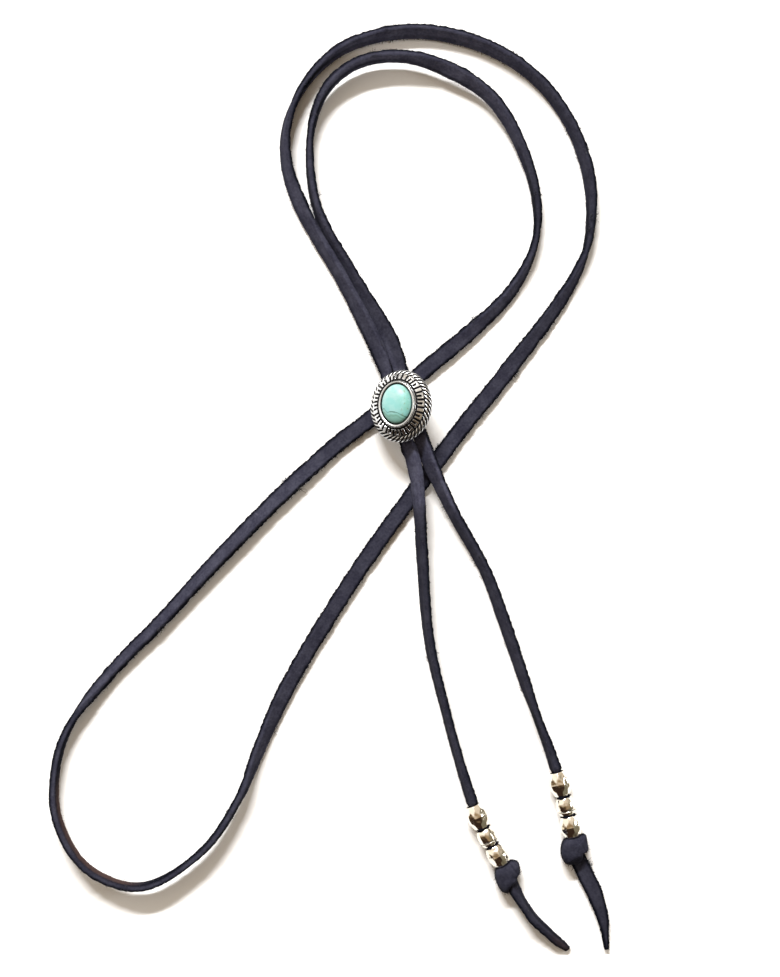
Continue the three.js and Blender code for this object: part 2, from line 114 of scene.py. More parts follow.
# Corners of the lace's section, one wide and one thick, that its height is taken from.
SECTION_CORNERS = [[0.5, 0.22], [0.38, 0.5], [-0.38, 0.5], [-0.5, 0.22]]
ROLL_EASE = 0.25            # slope of lift and roll at a row, as a share of the chord across it
LACE_CORNER = 0.5           # radius of the section's corners
LACE_STATIONS = 2600

# Outline of each overhand knot from above, clockwise from the beads. Columns: along, which is
# towards the tip, and side, which is to the left of that.
LEFT_KNOT_OUTLINE = [
    [-4.1, -1.4], [-4.0, 1.0], [-3.8, 2.9], [-3.2, 3.8], [-2.1, 4.5], [-0.6, 4.1], [0.8, 3.3],
    [1.4, 2.0], [3.0, 1.2], [4.1, -0.4], [4.1, -2.2], [3.9, -3.2], [2.6, -4.2], [0.2, -4.2],
    [-2.1, -3.6], [-3.6, -2.6],
]
RIGHT_KNOT_OUTLINE = [
    [-4.1, -1.4], [-4.15, 0.2], [-3.9, 2.2], [-3.6, 3.9], [-3.0, 4.4], [-1.0, 4.15], [1.0, 3.8],
    [1.6, 3.2], [1.9, 1.9], [3.4, 1.3], [4.1, -0.4], [3.9, -2.4], [3.5, -3.5], [2.0, -4.3],
    [-0.5, -4.3], [-2.6, -3.4], [-3.7, -2.4],
]
# Half section of a knot. Columns: share of the outline, height.
KNOT_SECTION = [
    [0.02, 0.3], [0.6, 0.25], [0.86, 0.35], [0.96, 0.9], [1.0, 1.8], [1.0, 2.7], [0.98, 3.6],
    [0.94, 4.4], [0.87, 5.0], [0.75, 5.5], [0.58, 5.8], [0.38, 6.0], [0.2, 6.08], [0.02, 6.1],
]
# Where each knot stands, and the way to its tip in degrees.
LEFT_KNOT = {"x": 52.9, "y": -114.2, "heading": -58}
RIGHT_KNOT = {"x": 72.3, "y": -106.4, "heading": -72}
KNOTS = [
    ("knot_left", LEFT_KNOT, LEFT_KNOT_OUTLINE),
    ("knot_right", RIGHT_KNOT, RIGHT_KNOT_OUTLINE),
]

# The slide and its stone, in the frame of the slide's flat back.
SLIDE_CENTRE = [21.7, 23.45, 7.0]
SLIDE_RISE = {"x": 0.40, "y": -0.15}
SLIDE_TURN = 4.5
BEZEL = {"a": 5.7, "b": 6.9, "top": 5.4}
STONE = {"a": 4.55, "b": 5.8, "foot": 3.9, "girdle": 4.9, "top": 6.9, "power": 0.85}
SEAT_FLOOR = 3.6            # under the stone
SEAT_GAP = 0.3              # round the stone
BAND = {"outer": 2.15, "low": 3.1, "inner": 0.3, "high": 4.3}
ROPE = {"offset": 2.5, "radius": 1.25, "height": 1.4}
KEEPER = {"from": 2.0, "to": 6.0, "half": 4.45, "wall": 0.8, "room": 2.6, "sunk": 0.2,
          "corner": 0.9}
CHANNEL_TURN = 15.7         # of the keeper, in degrees
# Keys of the sloping band, clockwise from the top: o is open towards the stone, i is plain.
KEY_ORDER = "iiooiooioooiooiooiooooio"
KEYS = {"i": [1.38, 0.9, 0], "o": [2.16, 1.68, 1]}     # pitch, width, and 1 if it has a slot
KEY_SLOT = {"width": 0.58, "from": 0.62}
KEY_SPAN = [0.06, 2.02]     # along the slope, from its outer edge
KEY_EDGE = 0.055            # half the run of a key's steep sides
# Points round the slide's and the stone's rings, and over their sections.
BEZEL_COLUMNS = 288
BAND_COLUMNS, BAND_STEPS = 1320, 60
STRAND_COLUMNS, ROPE_STEPS = 20, 34
STONE_COLUMNS = 160

LEFT_BEADS = ["bead_left_upper", "bead_left_middle", "bead_left_lower"]
RIGHT_BEADS = ["bead_right_upper", "bead_right_middle", "bead_right_lower"]
UPPER_BEAD = {"radius": 3.25, "length": 7.0, "cut": True}
SMALL_BEAD = {"radius": 2.85, "length": 5.2, "cut": False}
LOWER_BEAD = {"radius": 3.25, "length": 6.2, "cut": True}
BEAD_SIZES = [UPPER_BEAD, SMALL_BEAD, LOWER_BEAD]
BEAD_BORE = 1.85
# Two rows of flat cuts on each half of a large bead: share of its radius at the middle, and how
# much less at the end.
BEAD_CUTS = [[0.975, 0.14], [1.12, 0.44]]
CUT_SHARPNESS = 60          # of the edge where two cuts meet
# The small bead: how much less its radius is at its ends, and its groove and faint flats.
BARREL = {"fall": 0.24, "groove": 0.52, "across": 0.07, "deep": 0.07, "flats": 0.3}
BEAD_COLUMNS, BEAD_STEPS = 160, 97
GAP_DISC = {"across": 4.3, "spread": 0.16}      # the lace's bulge between two beads

# The lace's surface, in millimetres. Spans have four limits: rise from, to, fall from, to.
AWAY_FROM_KEY_LIGHT = [0.0, -1.0, 0.0]  # away from the key light: faces that lean this way are painted paler, to cancel their shade
PAIR_SWELL = 0.4            # how much wider the lace is where two runs press on each other
PRESSED_ABOVE = (34.5, 38, 50, 58)      # along y, above the slide
PRESSED_BELOW = (1, 4, 10.5, 13)        # and below it
BESIDE = (32, 35, 70, 84)   # along y, where two runs lie side by side
UNDER = (-9, -4, 14, 17)    # along y, where one run lies on another below the slide
RUN_EDGES = (-14, 24)       # along x, the runs that lie side by side
DARK_SPREAD = 0.7           # of the shade round the thin disc between two beads
# How the frayed edges wander: pitch, seed, points of the section that go together, weight.
EDGE_PITCHES = [(2.6, 11, 6, 0.35), (0.65, 31, 4, 0.65)]
# Limits past which painted shade darkens the nap: at the right along x, and on the tails.
DIM_RIGHT = (50, 62)
DIM_TAILS = {"x": (22, 26), "y": (-14, -4), "knots": (-116, -108)}
DIM_DEPTH = 0.62
# Browned places: the lower loop's bend, on the side of its middle, and the left tip.
BROWN_BEND = {"x": (-62, -50), "y": (-92, -80), "reach": (0.55, 1.0)}
BROWN_TIP = {"x": (72, 74), "y": (-136, -130)}
LOWER_LOOP_MIDDLE = (-53.0, -85.0)
TIP_TURN = (-126, -114)     # along y, below which the tips lose the painted light from leaning and are a little darker
# How much painted shade darkens the knots' nap, as the dim mark does on the lace.
KNOT_DIM = 0.45
KNOT_MIDDLE = 3.0           # height of a knot's middle
KNOT_TURNS, KNOT_STEPS = 200, 66        # points round a knot and over it

# Loose fibres, in millimetres and stations of the lace.
BARE_STATIONS = 30          # without fibres, at each tip
TUFTS = 30
TUFT_PART = 8               # one fibre in this many belongs to a tuft
KNOT_PART = 100             # each knot has one fibre for this many on the lace
LENGTH_SPREAD = (3.0, 0.34)         # shape and scale of a fibre's drawn length
FIBRE_RADIUS = (0.04, 0.08)
FIBRE_LOWEST = 0.05
FIBRE_SEED = 7

# The view and the light. Columns of a light: name, way towards it, distance, size, setting.
VIEW_SPAN = 0.28735         # length seen along Y at VIEW_LEVEL
VIEW_LEVEL = 0.002
VIEW_CENTRE = (0.01794, -0.0003)
TABLE_HALF = 2.0            # half of its side
TABLE_LEVEL = -0.00002      # just under the lace, which rests at zero
LIGHTS = [
    ("key_light", (-0.166, 0.748, 0.643), 3.2, (1.45, 0.2), "key_power"),
    ("side_light", (0.86, 0.1, 0.4), 0.9, (0.3, 0.2), "side_power"),
]
SKY_NEAR = (0.05, 0.028, 0.018)
SKY_MIDDLE = (0.52, 0.355, 0.195)
SKY_FAR = (1.1, 0.93, 0.74)
SKY_LEFT = (1.75, 1.62, 1.44)
SKY_RIGHT = (0.30, 0.27, 0.19)

# Colours that the materials add to those of the settings.
# The first is painted shade: the near-black line along the lace's outline from above.
OUTLINE_SHADE = (0.0015, 0.002, 0.005)
FIBRE_SHADE = (0.012, 0.011, 0.014)
WARM_SILVER = (0.66, 0.65, 0.635)
TARNISH = (0.004, 0.0035, 0.004)
WARM_METAL = (0.76, 0.71, 0.61)
BEAD_GROOVE = (0.03, 0.024, 0.02)
STONE_CLOUD = (0.165, 0.405, 0.39)
STONE_RIGHT = (0.14, 0.35, 0.29)
STONE_THIN_VEIN = (0.08, 0.18, 0.135)
STONE_SPECK = (0.16, 0.20, 0.12)
TABLE_PLAIN = (0.93, 0.925, 0.92)
TABLE_GRAIN = (0.96, 0.958, 0.955)
OBJECT, UV, WAY = 3, 2, 0   # outputs of a texture place: the object's own metres, UVs, direction


# ---------------------------------------------------------------- curves and grids


def smooth(low, high, value):
    """0 below low, 1 above high, and an S-shaped rise between them."""
    share = np.clip((np.asarray(value, float) - low) / (high - low), 0, 1)
    return share * share * (3 - 2 * share)


def within(span, value):
    """1 between the middle two of four limits, and 0 outside the outer two."""
    return smooth(*span[:2], value) * (1 - smooth(*span[2:], value))


def hump(value, width):
    """A bell: e to the minus square of the value over the width."""
    return np.exp(-(value / width) ** 2)


def unit(vectors):
    """The vectors at length one."""
    return vectors / np.linalg.norm(vectors, axis=-1, keepdims=True)


def turns(count):
    """Evenly spaced turns once round, in radians."""
    return np.linspace(0, 2 * np.pi, count, endpoint=False)


def distances(points):
    """How far along a line of points each one lies."""
    return np.concatenate([[0], np.cumsum(np.linalg.norm(np.diff(points, axis=0), axis=1))])


def wander(places, pitch, seed):
    """A seeded random line from -1 to 1: random heights a pitch apart, joined by S-curves."""
    at = np.asarray(places, float) / pitch
    low = np.floor(at).astype(int)
    heights = np.random.default_rng(seed).uniform(-1, 1, low.max() - low.min() + 2)
    first = heights[low - low.min()]
    second = heights[low - low.min() + 1]
    return first + (second - first) * smooth(0, 1, at - low)


def neighbours(rows, at):
    """The rows before, below, above and beyond each place, and its share of the way up."""
    low = np.minimum(np.floor(at).astype(int), len(rows) - 2)
    ends = np.vstack([2 * rows[0] - rows[1], rows, 2 * rows[-1] - rows[-2]])
    return ends[low], ends[low + 1], ends[low + 2], ends[low + 3], (at - low)[:, None]


def cubic(start, end, leave, arrive, share):
    """Place and direction on the cubic with these ends and end slopes."""
    square = 3 * (end - start) - 2 * leave - arrive
    cube = 2 * (start - end) + leave + arrive
    place = start + leave * share + square * share**2 + cube * share**3
    return place, leave + 2 * square * share + 3 * cube * share**2


def centripetal(rows, at):
    """A centripetal Catmull-Rom line: slopes weigh the chords by the root of their length."""
    before, start, end, beyond, share = neighbours(rows, at)

    def root(a, b):
        return np.sqrt(np.linalg.norm(b - a, axis=1, keepdims=True))

    one, two, three = root(before, start), root(start, end), root(end, beyond)
    leave = (start - before) / one - (end - before) / (one + two) + (end - start) / two
    arrive = (end - start) / two - (beyond - start) / (two + three) + (beyond - end) / three
    return cubic(start, end, leave * two, arrive * two, share)


def eased(rows, at):
    """A Catmull-Rom line with short slopes, ROLL_EASE of the chord across each row."""
    before, start, end, beyond, share = neighbours(rows, at)
    return cubic(start, end, ROLL_EASE * (end - before), ROLL_EASE * (beyond - start), share)[0]


def full_rows(rows):
    """The rows with their width and thickness filled in."""
    usual = [LACE_WIDTH, LACE_THICK]
    return np.array([row + usual[len(row) - 4:] for row in rows], float)


def lace_rows():
    """The whole lace from tip to tip. The left tip runs backwards, so its roll turns over."""
    left = full_rows(LEFT_TIP)[::-1].copy()
    left[:, 3] = -left[:, 3] - 180
    return np.vstack([left, full_rows(LEFT_TAIL + OUTER_LOOP + LOWER_LOOP + INNER_LOOP
                                      + RIGHT_TAIL + RIGHT_TIP)])


def lace_line():
    """Evenly spaced stations of the lace, in millimetres.

    The plan line is a centripetal line through the rows. Lift and roll follow an eased line, and
    width and thickness change evenly. The height is the lift plus how far the section's lowest
    corner hangs below its middle.
    """
    rows = lace_rows()
    corners = np.array(SECTION_CORNERS + [[-x, -y] for x, y in SECTION_CORNERS])

    def at_places(at):
        plan, way = centripetal(rows[:, :2], at)
        lift, roll = eased(rows[:, 2:4], at).T
        width, thick = (np.interp(at, np.arange(len(rows)), rows[:, i]) for i in (4, 5))
        sine, cosine = np.sin(np.radians(roll)), np.cos(np.radians(roll))
        drop = (np.outer(width * sine, corners[:, 0])
                + np.outer(thick * cosine, corners[:, 1])).max(1)
        point = np.column_stack([plan, np.maximum(lift, 0) + drop])
        ahead = unit(np.column_stack([way, np.zeros(len(at))]))
        left = np.column_stack([-ahead[:, 1], ahead[:, 0], np.zeros(len(at))])
        across = left * cosine[:, None] + UP * sine[:, None]
        return {"point": point, "ahead": ahead, "across": across,
                "through": np.cross(ahead, across), "width": width, "thick": thick}

    fine = np.linspace(0, len(rows) - 1, 40 * len(rows))
    distance = distances(at_places(fine)["point"])
    wanted = np.linspace(0, distance[-1], LACE_STATIONS)
    line = at_places(np.interp(wanted, distance, fine))
    line["distance"] = wanted
    return line


def lace_section():
    """A rounded rectangle run round once, one wide and one thick.

    Each side is walked from corner to corner, with points at chosen shares of it that are
    closest together near the corners.
    """
    half = [LACE_WIDTH / 2 - LACE_CORNER, LACE_THICK / 2 - LACE_CORNER]
    corners = np.array([[1, 1], [-1, 1], [-1, -1], [1, -1]]) * half
    broad = np.array([0.25, 0.55, 1.0, 1.9, 2.8, 3.25, 3.55]) / 3.8
    narrow = np.array([0.25, 0.5, 0.75])
    points = []
    for quarter, shares in enumerate((broad, narrow, broad, narrow)):
        turn = np.radians(90 * quarter + np.array([0, 30, 60, 90]))
        arc = corners[quarter] + LACE_CORNER * np.column_stack([np.cos(turn), np.sin(turn)])
        side = corners[(quarter + 1) % 4] - corners[quarter]
        points += [arc, arc[-1] + shares[:, None] * side]
    return np.vstack(points) / [LACE_WIDTH, LACE_THICK]


def rim_closeness(line, grid):
    """How near each point lies to the outline of the lace from above, on either side: 1 on it,
    and 0 from a millimetre away. It fades on the upright sides, below the top. It sets where
    painted shade darkens the outline, and where the edges wander most."""
    left = np.stack([-line["ahead"][:, 1], line["ahead"][:, 0]], -1)
    away = grid - line["point"][:, None, :]
    out = (away[..., :2] * left[:, None, :]).sum(-1)
    inside = np.minimum(out.max(1, keepdims=True) - out, out - out.min(1, keepdims=True))
    below = grid[..., 2].max(1, keepdims=True) - grid[..., 2]
    return (1 - smooth(0.35, 1, inside)) * (1 - 0.7 * smooth(1.8, 3.2, below))


def leaning(grid, way):
    """How far the surface at each point of a closed grid of rings leans one way: the outward
    normal's share along it."""
    along = np.gradient(grid, axis=0)
    round_it = np.roll(grid, -1, axis=1) - np.roll(grid, 1, axis=1)
    return unit(np.cross(round_it, along)) @ np.asarray(way, float)


def grid_faces(rows, columns, closed=False):
    """Quads between neighbouring rows of a grid whose columns run round, and their UVs.

    They face away from the line that the columns circle. closed joins the last row to the first.
    """
    i, j = np.mgrid[:rows if closed else rows - 1, :columns]
    low, high, after = i * columns, (i + 1) % rows * columns, (j + 1) % columns
    quads = np.stack([low + j, low + after, high + after, high + j], -1)
    u = np.stack([j, j + 1, j + 1, j], -1) / columns
    v = np.stack([i, i, i + 1, i + 1], -1) / (rows - 1)
    return quads.reshape(-1, 4), np.stack([u, v], -1).reshape(-1, 2)


def tube_parts(grid, ends=None):
    """Points, faces and UVs of a tube closed by a fan over each end. The fans meet at the two
    end points, or at the middles of the first and last ring."""
    rows, columns = grid.shape[:2]
    quads, uvs = grid_faces(rows, columns)
    if ends is None:
        ends = [grid[0].mean(0), grid[-1].mean(0)]
    ring = np.arange(columns)
    tip = np.full(columns, rows * columns)
    first = np.stack([tip, np.roll(ring, -1), ring], -1)
    ring = ring + (rows - 1) * columns
    last = np.stack([ring, np.roll(ring, -1), tip + 1], -1)
    return np.vstack([grid.reshape(-1, 3), *ends]), [quads, np.vstack([first, last])], uvs


def placed(name, data):
    """A new object of a mesh, light or camera, in the scene."""
    thing = bpy.data.objects.new(name, data)
    bpy.context.scene.collection.objects.link(thing)
    return thing


def add_piece(name, points, faces, uvs=None, **marks):
    """A mesh object from points in metres, face arrays and values for each point."""
    mesh = bpy.data.meshes.new(name)
    mesh.vertices.add(len(points))
    mesh.vertices.foreach_set("co", np.asarray(points, np.float32).ravel())
    corners = np.concatenate([part.ravel() for part in faces]).astype(np.int32)
    sizes = np.concatenate([np.full(len(part), part.shape[1]) for part in faces])
    mesh.loops.add(len(corners))
    mesh.loops.foreach_set("vertex_index", corners)
    mesh.polygons.add(len(sizes))
    starts = np.concatenate([[0], np.cumsum(sizes)[:-1]]).astype(np.int32)
    mesh.polygons.foreach_set("loop_start", starts)
    mesh.update(calc_edges=True)
    mesh.validate()
    mesh.polygons.foreach_set("use_smooth", np.ones(len(sizes), bool))
    if uvs is not None:
        spread = np.zeros((len(corners), 2), np.float32)
        spread[:len(uvs)] = uvs
        mesh.uv_layers.new(name="UVMap").data.foreach_set("uv", spread.ravel())
    for mark, values in marks.items():
        layer = mesh.attributes.new(mark, "FLOAT", "POINT")
        layer.data.foreach_set("value", np.asarray(values, np.float32).ravel())
    return placed(name, mesh)


def band_points(line, section, push=0.0):
    """A section carried along a line of stations: middle, plus width times across, plus
    thickness times through, plus a push outwards."""
    outward = unit(section / [LACE_THICK, LACE_WIDTH])
    offset_x = section[:, 0] * line["width"][:, None] + push * outward[:, 0]
    offset_y = section[:, 1] * line["thick"][:, None] + push * outward[:, 1]
    return (line["point"][:, None, :] + offset_x[..., None] * line["across"][:, None, :]
            + offset_y[..., None] * line["through"][:, None, :])


def band_piece(name, grid, **marks):
    """A closed tube of a grid of points in millimetres, with values for its points."""
    points, faces, uvs = tube_parts(grid)
    full = {mark: np.append(np.broadcast_to(values, grid.shape[:2]), [0, 0])
            for mark, values in marks.items()}
    return add_piece(name, points * MM, faces, uvs, **full)


def ring_piece(name, grid, **marks):
    """A closed ring of a grid of points in millimetres, whose rows run round its section."""
    quads, uvs = grid_faces(*grid.shape[:2], closed=True)
    return add_piece(name, grid.reshape(-1, 3) * MM, [quads], uvs, **marks)


def dress(piece, material, node=None):
    """Gives a piece its material and its body, and hides the CAD part that it stands for, if one
    is named.
    """
    piece.data.materials.append(material)
    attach(piece, "root")
    if node:
        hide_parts(node)


# ---------------------------------------------------------------- materials


class Wire:
    """An output of a shader node. Sums on it add Math nodes, and make() adds any other node."""

    def __init__(self, tree, node, output):
        self.tree = tree
        self.node = node
        self.output = output

    @staticmethod
    def make(tree, kind, settings, inputs, output=0):
        """Adds a node: its settings first, then a value or a link for each named input."""
        node = tree.nodes.new(kind)
        for name, value in settings.items():
            setattr(node, name, value)
        for name, value in inputs.items():
            if isinstance(value, Wire):
                tree.links.new(value.node.outputs[value.output], node.inputs[name])
            else:
                node.inputs[name].default_value = value
        return Wire(tree, node, output)

    def maths(self, operation, *values):
        """A Math node of this operation."""
        return Wire.make(self.tree, "ShaderNodeMath", {"operation": operation},
                         dict(enumerate(values)))

    def __add__(self, other):
        return self.maths("ADD", self, other)

    def __sub__(self, other):
        return self.maths("SUBTRACT", self, other)

    def __rsub__(self, other):
        return self.maths("SUBTRACT", other, self)

    def __mul__(self, other):
        return self.maths("MULTIPLY", self, other)

    def __abs__(self):
        return self.maths("ABSOLUTE", self)

    __radd__, __rmul__ = __add__, __mul__

    def between(self, low, high):
        """0 below low, 1 above high and an S-shaped rise between them."""
        return Wire.make(self.tree, "ShaderNodeMapRange",
                         {"interpolation_type": "SMOOTHSTEP"},
                         {"Value": self, "From Min": low, "From Max": high})

    def noise(self, scale, detail, stretch=None):
        """Noise from 0 to 1 over a place, with stretch along each axis."""
        place = self
        if stretch is not None:
            place = Wire.make(self.tree, "ShaderNodeMapping", {},
                              {"Vector": self, "Scale": stretch})
        return Wire.make(self.tree, "ShaderNodeTexNoise", {},
                         {"Vector": place, "Scale": scale, "Detail": detail})

    def bump(self, strength, distance):
        """A normal that takes this value as its height."""
        return Wire.make(self.tree, "ShaderNodeBump", {},
                         {"Height": self, "Strength": strength, "Distance": distance})

    def plan(self):
        """The x and y of a place."""
        x = Wire.make(self.tree, "ShaderNodeSeparateXYZ", {}, {0: self})
        return x, Wire(self.tree, x.node, 1)


def place_in(tree, output):
    """A place to lay a pattern on: OBJECT, UV or WAY."""
    return Wire.make(tree, "ShaderNodeTexCoord", {}, {}, output)


def mark(tree, name):
    """A value kept on the piece's points."""
    return Wire.make(tree, "ShaderNodeAttribute", {"attribute_name": name}, {}, 2)


def layered(colour, *layers):
    """A colour with others laid over it in order. Each layer is how much of it covers what is
    below, from 0 to 1, and its colour."""
    for share, over in layers:
        first, second = (value if isinstance(value, Wire) else (*value, 1.0)
                         for value in (colour, over))
        colour = Wire.make(share.tree, "ShaderNodeMix", {"data_type": "RGBA"},
                           {0: share, 6: first, 7: second}, 2)
    return colour


def empty_tree(owner):
    """The node tree of a material or a world, with nothing in it."""
    owner.use_nodes = True
    owner.node_tree.nodes.clear()
    return owner.node_tree


def new_material(name):
    """An empty material, its node tree and its place in the object's own metres."""
    material = bpy.data.materials.new(name)
    tree = empty_tree(material)
    return material, tree, place_in(tree, OBJECT)


def finished(material, inputs):
    """Ends a material in one Principled shader with these inputs."""
    tree = material.node_tree
    shader = Wire.make(tree, "ShaderNodeBsdfPrincipled", {}, inputs)
    Wire.make(tree, "ShaderNodeOutputMaterial", {}, {"Surface": shader})
    return material


def suede_material(settings):
    """Napped suede: mottled and speckled, and browned in places. Painted shade makes it near
    black along its outline from above. Painted light makes faces that lean away from the key
    light paler, to cancel their shade, and faces that lean towards it a little darker; painted
    shade darkens it where it is marked dim."""
    material, tree, place = new_material("suede")
    speck = place.noise(1500, 4)
    streak = place_in(tree, UV).noise(1, 3, (9, 900, 1)).between(0.6, 0.78)
    scuffed = place.noise(90, 2).between(0.55, 0.7)
    tone = (place.noise(260, 3) * 0.55 + speck * 0.45).between(0.3, 0.72)
    colour = layered(settings.shade, (tone, settings.colour),
                     (streak * scuffed * 0.35, settings.scuff))
    # Painted light: lean makes faces that lean away from the key light paler, to cancel their
    # shade, and those towards it a little darker. Painted shade: the dim mark makes the nap
    # darker.
    lean = mark(tree, "lean")
    nap = 1 + lean.between(0.0, 0.8) * 1.3 - (0 - lean).between(0.1, 0.8) * 0.25
    nap = nap * (1.08 - mark(tree, "dim") * 0.42)
    colour = Wire.make(tree, "ShaderNodeVectorMath", {"operation": "SCALE"},
                       {0: colour, "Scale": nap})
    relief = speck * 0.6 + place.noise(3600, 3) * 0.4
    return finished(material, {
        # Painted shade: the rim mark lays a near-black line along the outline from above.
        "Base Color": layered(colour, (mark(tree, "brown"), settings.brown),
                              (mark(tree, "rim") * 0.97, OUTLINE_SHADE)),
        "Roughness": 0.92,
        "Specular IOR Level": 0.05,
        "Normal": relief.bump(0.6, 0.00025),
    })


def fibre_material(settings):
    """Loose suede fibres, a little paler than the lace."""
    material, _, place = new_material("suede_fibres")
    return finished(material, {
        "Base Color": layered(FIBRE_SHADE, (place.noise(400, 2), settings.colour)),
        "Roughness": 0.9,
    })


def silver_material(settings):
    """Cast silver: bright where it is rubbed, and blackened in its recesses."""
    material, tree, place = new_material("oxidised_silver")
    grime = place.noise(700, 3)
    scratch = place.noise(2600, 3)
    recess = (mark(tree, "recess") + (grime - 0.5) * 0.34).between(0.06, 0.36)
    return finished(material, {
        "Base Color": layered(settings.colour, (place.noise(180, 2), WARM_SILVER),
                              (recess, TARNISH)),
        "Metallic": 1 - recess * 0.7,
        "Specular IOR Level": 0.2,
        "Roughness": 0.16 + recess * 0.4 + scratch * 0.12,
        "Normal": (scratch * 0.4 + grime * 0.6).bump(0.25, 0.0001),
    })


def bead_material(settings):
    """Polished champagne-coloured metal with faint hammer dents and wear."""
    material, tree, place = new_material("champagne_metal")
    recess = mark(tree, "recess")
    return finished(material, {
        "Base Color": layered(settings.colour, (place.noise(300, 2), WARM_METAL),
                              (recess, BEAD_GROOVE)),
        "Metallic": 1.0,
        "Roughness": 0.07 + place.noise(2400, 3) * 0.1 + recess * 0.3,
        "Normal": place.noise(520, 1).bump(0.5, 0.0005),
    })


def stone_material(settings):
    """Pale turquoise: paler at its head, with one dark vein across its lower third, a greener
    foot below it with a thin vein across, and small specks at its right."""
    material, tree, place = new_material("turquoise")
    x, y = place_in(tree, UV).plan()
    cloud = place.noise(240, 3)
    grain = place.noise(900, 3)
    shift = (place.noise(330, 3) - 0.5) * 0.14
    # The vein's height: it falls at the left, runs level, and falls again at the right.
    level = 0.385 - x.between(0.08, 0.28) * 0.11 - x.between(0.5, 0.82) * 0.13 + shift
    below = level - y
    vein = 1 - abs(below).between(0.004, 0.022)
    thin_vein = 1 - abs(below - 0.085 + (grain - 0.5) * 0.06).between(0.0, 0.03)
    worn = place.noise(420, 2).between(0.35, 0.6)
    specks = place.noise(1100, 2).between(0.6, 0.68) * x.between(0.62, 0.82)
    colour = layered(
        settings.colour,
        ((y + cloud * 0.3).between(0.6, 1.15), settings.pale),
        (place.noise(520, 3).between(0.4, 0.62) * 0.6, STONE_CLOUD),
        (x.between(0.45, 0.9) * grain.between(0.25, 0.65) * 0.75, STONE_RIGHT),
        (below.between(-0.01, 0.1) * 0.75, settings.foot),
        (thin_vein * 0.45, STONE_THIN_VEIN),
        (vein * (0.55 + worn * 0.4), settings.vein),
        (specks * 0.6, STONE_SPECK),
    )
    return finished(material, {
        "Base Color": colour,
        "Roughness": 0.3 + grain * 0.1,
        "Specular IOR Level": 0.25,
        "Normal": grain.bump(0.08, 0.0001),
    })


def table_material():
    """Plain matt white table, with a faint grain."""
    material, _, place = new_material("white_table")
    return finished(material, {
        "Base Color": layered(TABLE_PLAIN, (place.noise(900, 3), TABLE_GRAIN)),
        "Roughness": 0.8,
        "Specular IOR Level": 0.2,
    })


def studio_world(strength):
    """Light from all round: dark and warm from the near side, brighter towards the far side and
    the left, and greener at the right."""
    world = bpy.data.worlds.new("studio")
    tree = empty_tree(world)
    x, y = place_in(tree, WAY).plan()
    colour = layered(
        SKY_NEAR,
        (y.between(-0.45, -0.05), SKY_MIDDLE),
        (y.between(-0.05, 0.3), SKY_FAR),
        ((0 - x).between(0.3, 0.65) * y.between(-0.25, 0.05), SKY_LEFT),
        (x.between(0.25, 0.7) * 0.9, SKY_RIGHT),
    )
    sky = Wire.make(tree, "ShaderNodeBackground", {}, {"Color": colour, "Strength": strength})
    Wire.make(tree, "ShaderNodeOutputWorld", {}, {"Surface": sky})
    return world


# ---------------------------------------------------------------- shapes


def slide_axes():
    """The slide's short axis, long axis and outward normal."""
    normal = unit(np.array([-SLIDE_RISE["x"], -SLIDE_RISE["y"], 1.0]))
    turn = math.radians(SLIDE_TURN)
    lean = np.array([-math.sin(turn), math.cos(turn), 0.0])
    long = unit(lean - normal * (lean @ normal))
    return np.stack([np.cross(long, normal), long, normal])


def on_slide(points):
    """Points of the slide's own frame, carried to where it stands."""
    return np.array(SLIDE_CENTRE) + points @ slide_axes()


def oval(turn, a, b, out):
    """Points of an oval moved out along its normals by a distance: x and y."""
    normal = unit(np.stack([np.cos(turn) / a, np.sin(turn) / b], -1))
    spot = np.stack([a * np.cos(turn), b * np.sin(turn)], -1)
    return spot + normal * np.asarray(out)[..., None]


def bezel_oval(turn, out):
    """Points at a distance outside the bezel's oval."""
    return oval(turn, BEZEL["a"], BEZEL["b"], out)


def oval_grid(profile, columns):
    """A profile run round an oval. Columns of the profile: half width, half length, out, height.
    """
    return np.stack([
        np.column_stack([oval(turns(columns), a, b, out), np.full(columns, height)])
        for a, b, out, height in profile])


def key_relief(turn, climb):
    """How far the band stands up, 0 to 1, at a turn and a distance climbed from its outer edge.

    Keys follow each other clockwise from the top by length along the band. Each is a block with
    steep sides. An open key has a slot from its middle to its inner end.
    """
    ring = np.linspace(0, 2 * np.pi, 4001)
    length = distances(bezel_oval(np.pi / 2 - ring, (BAND["outer"] + BAND["inner"]) / 2))
    pitches, widths, opened = np.array([KEYS[kind] for kind in KEY_ORDER]).T
    pitches = pitches * length[-1] / pitches.sum()
    starts = np.concatenate([[0], np.cumsum(pitches)])
    here = np.interp(np.mod(np.pi / 2 - turn, 2 * np.pi), ring, length)
    index = np.clip(np.searchsorted(starts, here, side="right") - 1, 0, len(pitches) - 1)
    aside = np.abs(here - (starts[index] + pitches[index] / 2))

    def beyond(limit, value):
        return smooth(limit - KEY_EDGE, limit + KEY_EDGE, value)

    block = (1 - beyond(widths[index] / 2, aside)) * beyond(KEY_SPAN[0], climb)
    block = block * (1 - beyond(KEY_SPAN[1], climb))
    slot = (1 - beyond(KEY_SLOT["width"] / 2, aside)) * beyond(KEY_SLOT["from"], climb)
    return block * (1 - slot * opened[index])


def frame_of_knot(knot):
    """Carries along, side and height in a knot to the row frame."""
    heading = math.radians(knot["heading"])
    ahead = np.array([math.cos(heading), math.sin(heading), 0.0])
    aside = np.array([-math.sin(heading), math.cos(heading), 0.0])
    corner = np.array([knot["x"], knot["y"], 0.0])

    def carry(points):
        points = np.asarray(points, float)
        return corner + points[..., :1] * ahead + points[..., 1:2] * aside + points[..., 2:] * UP
    return carry


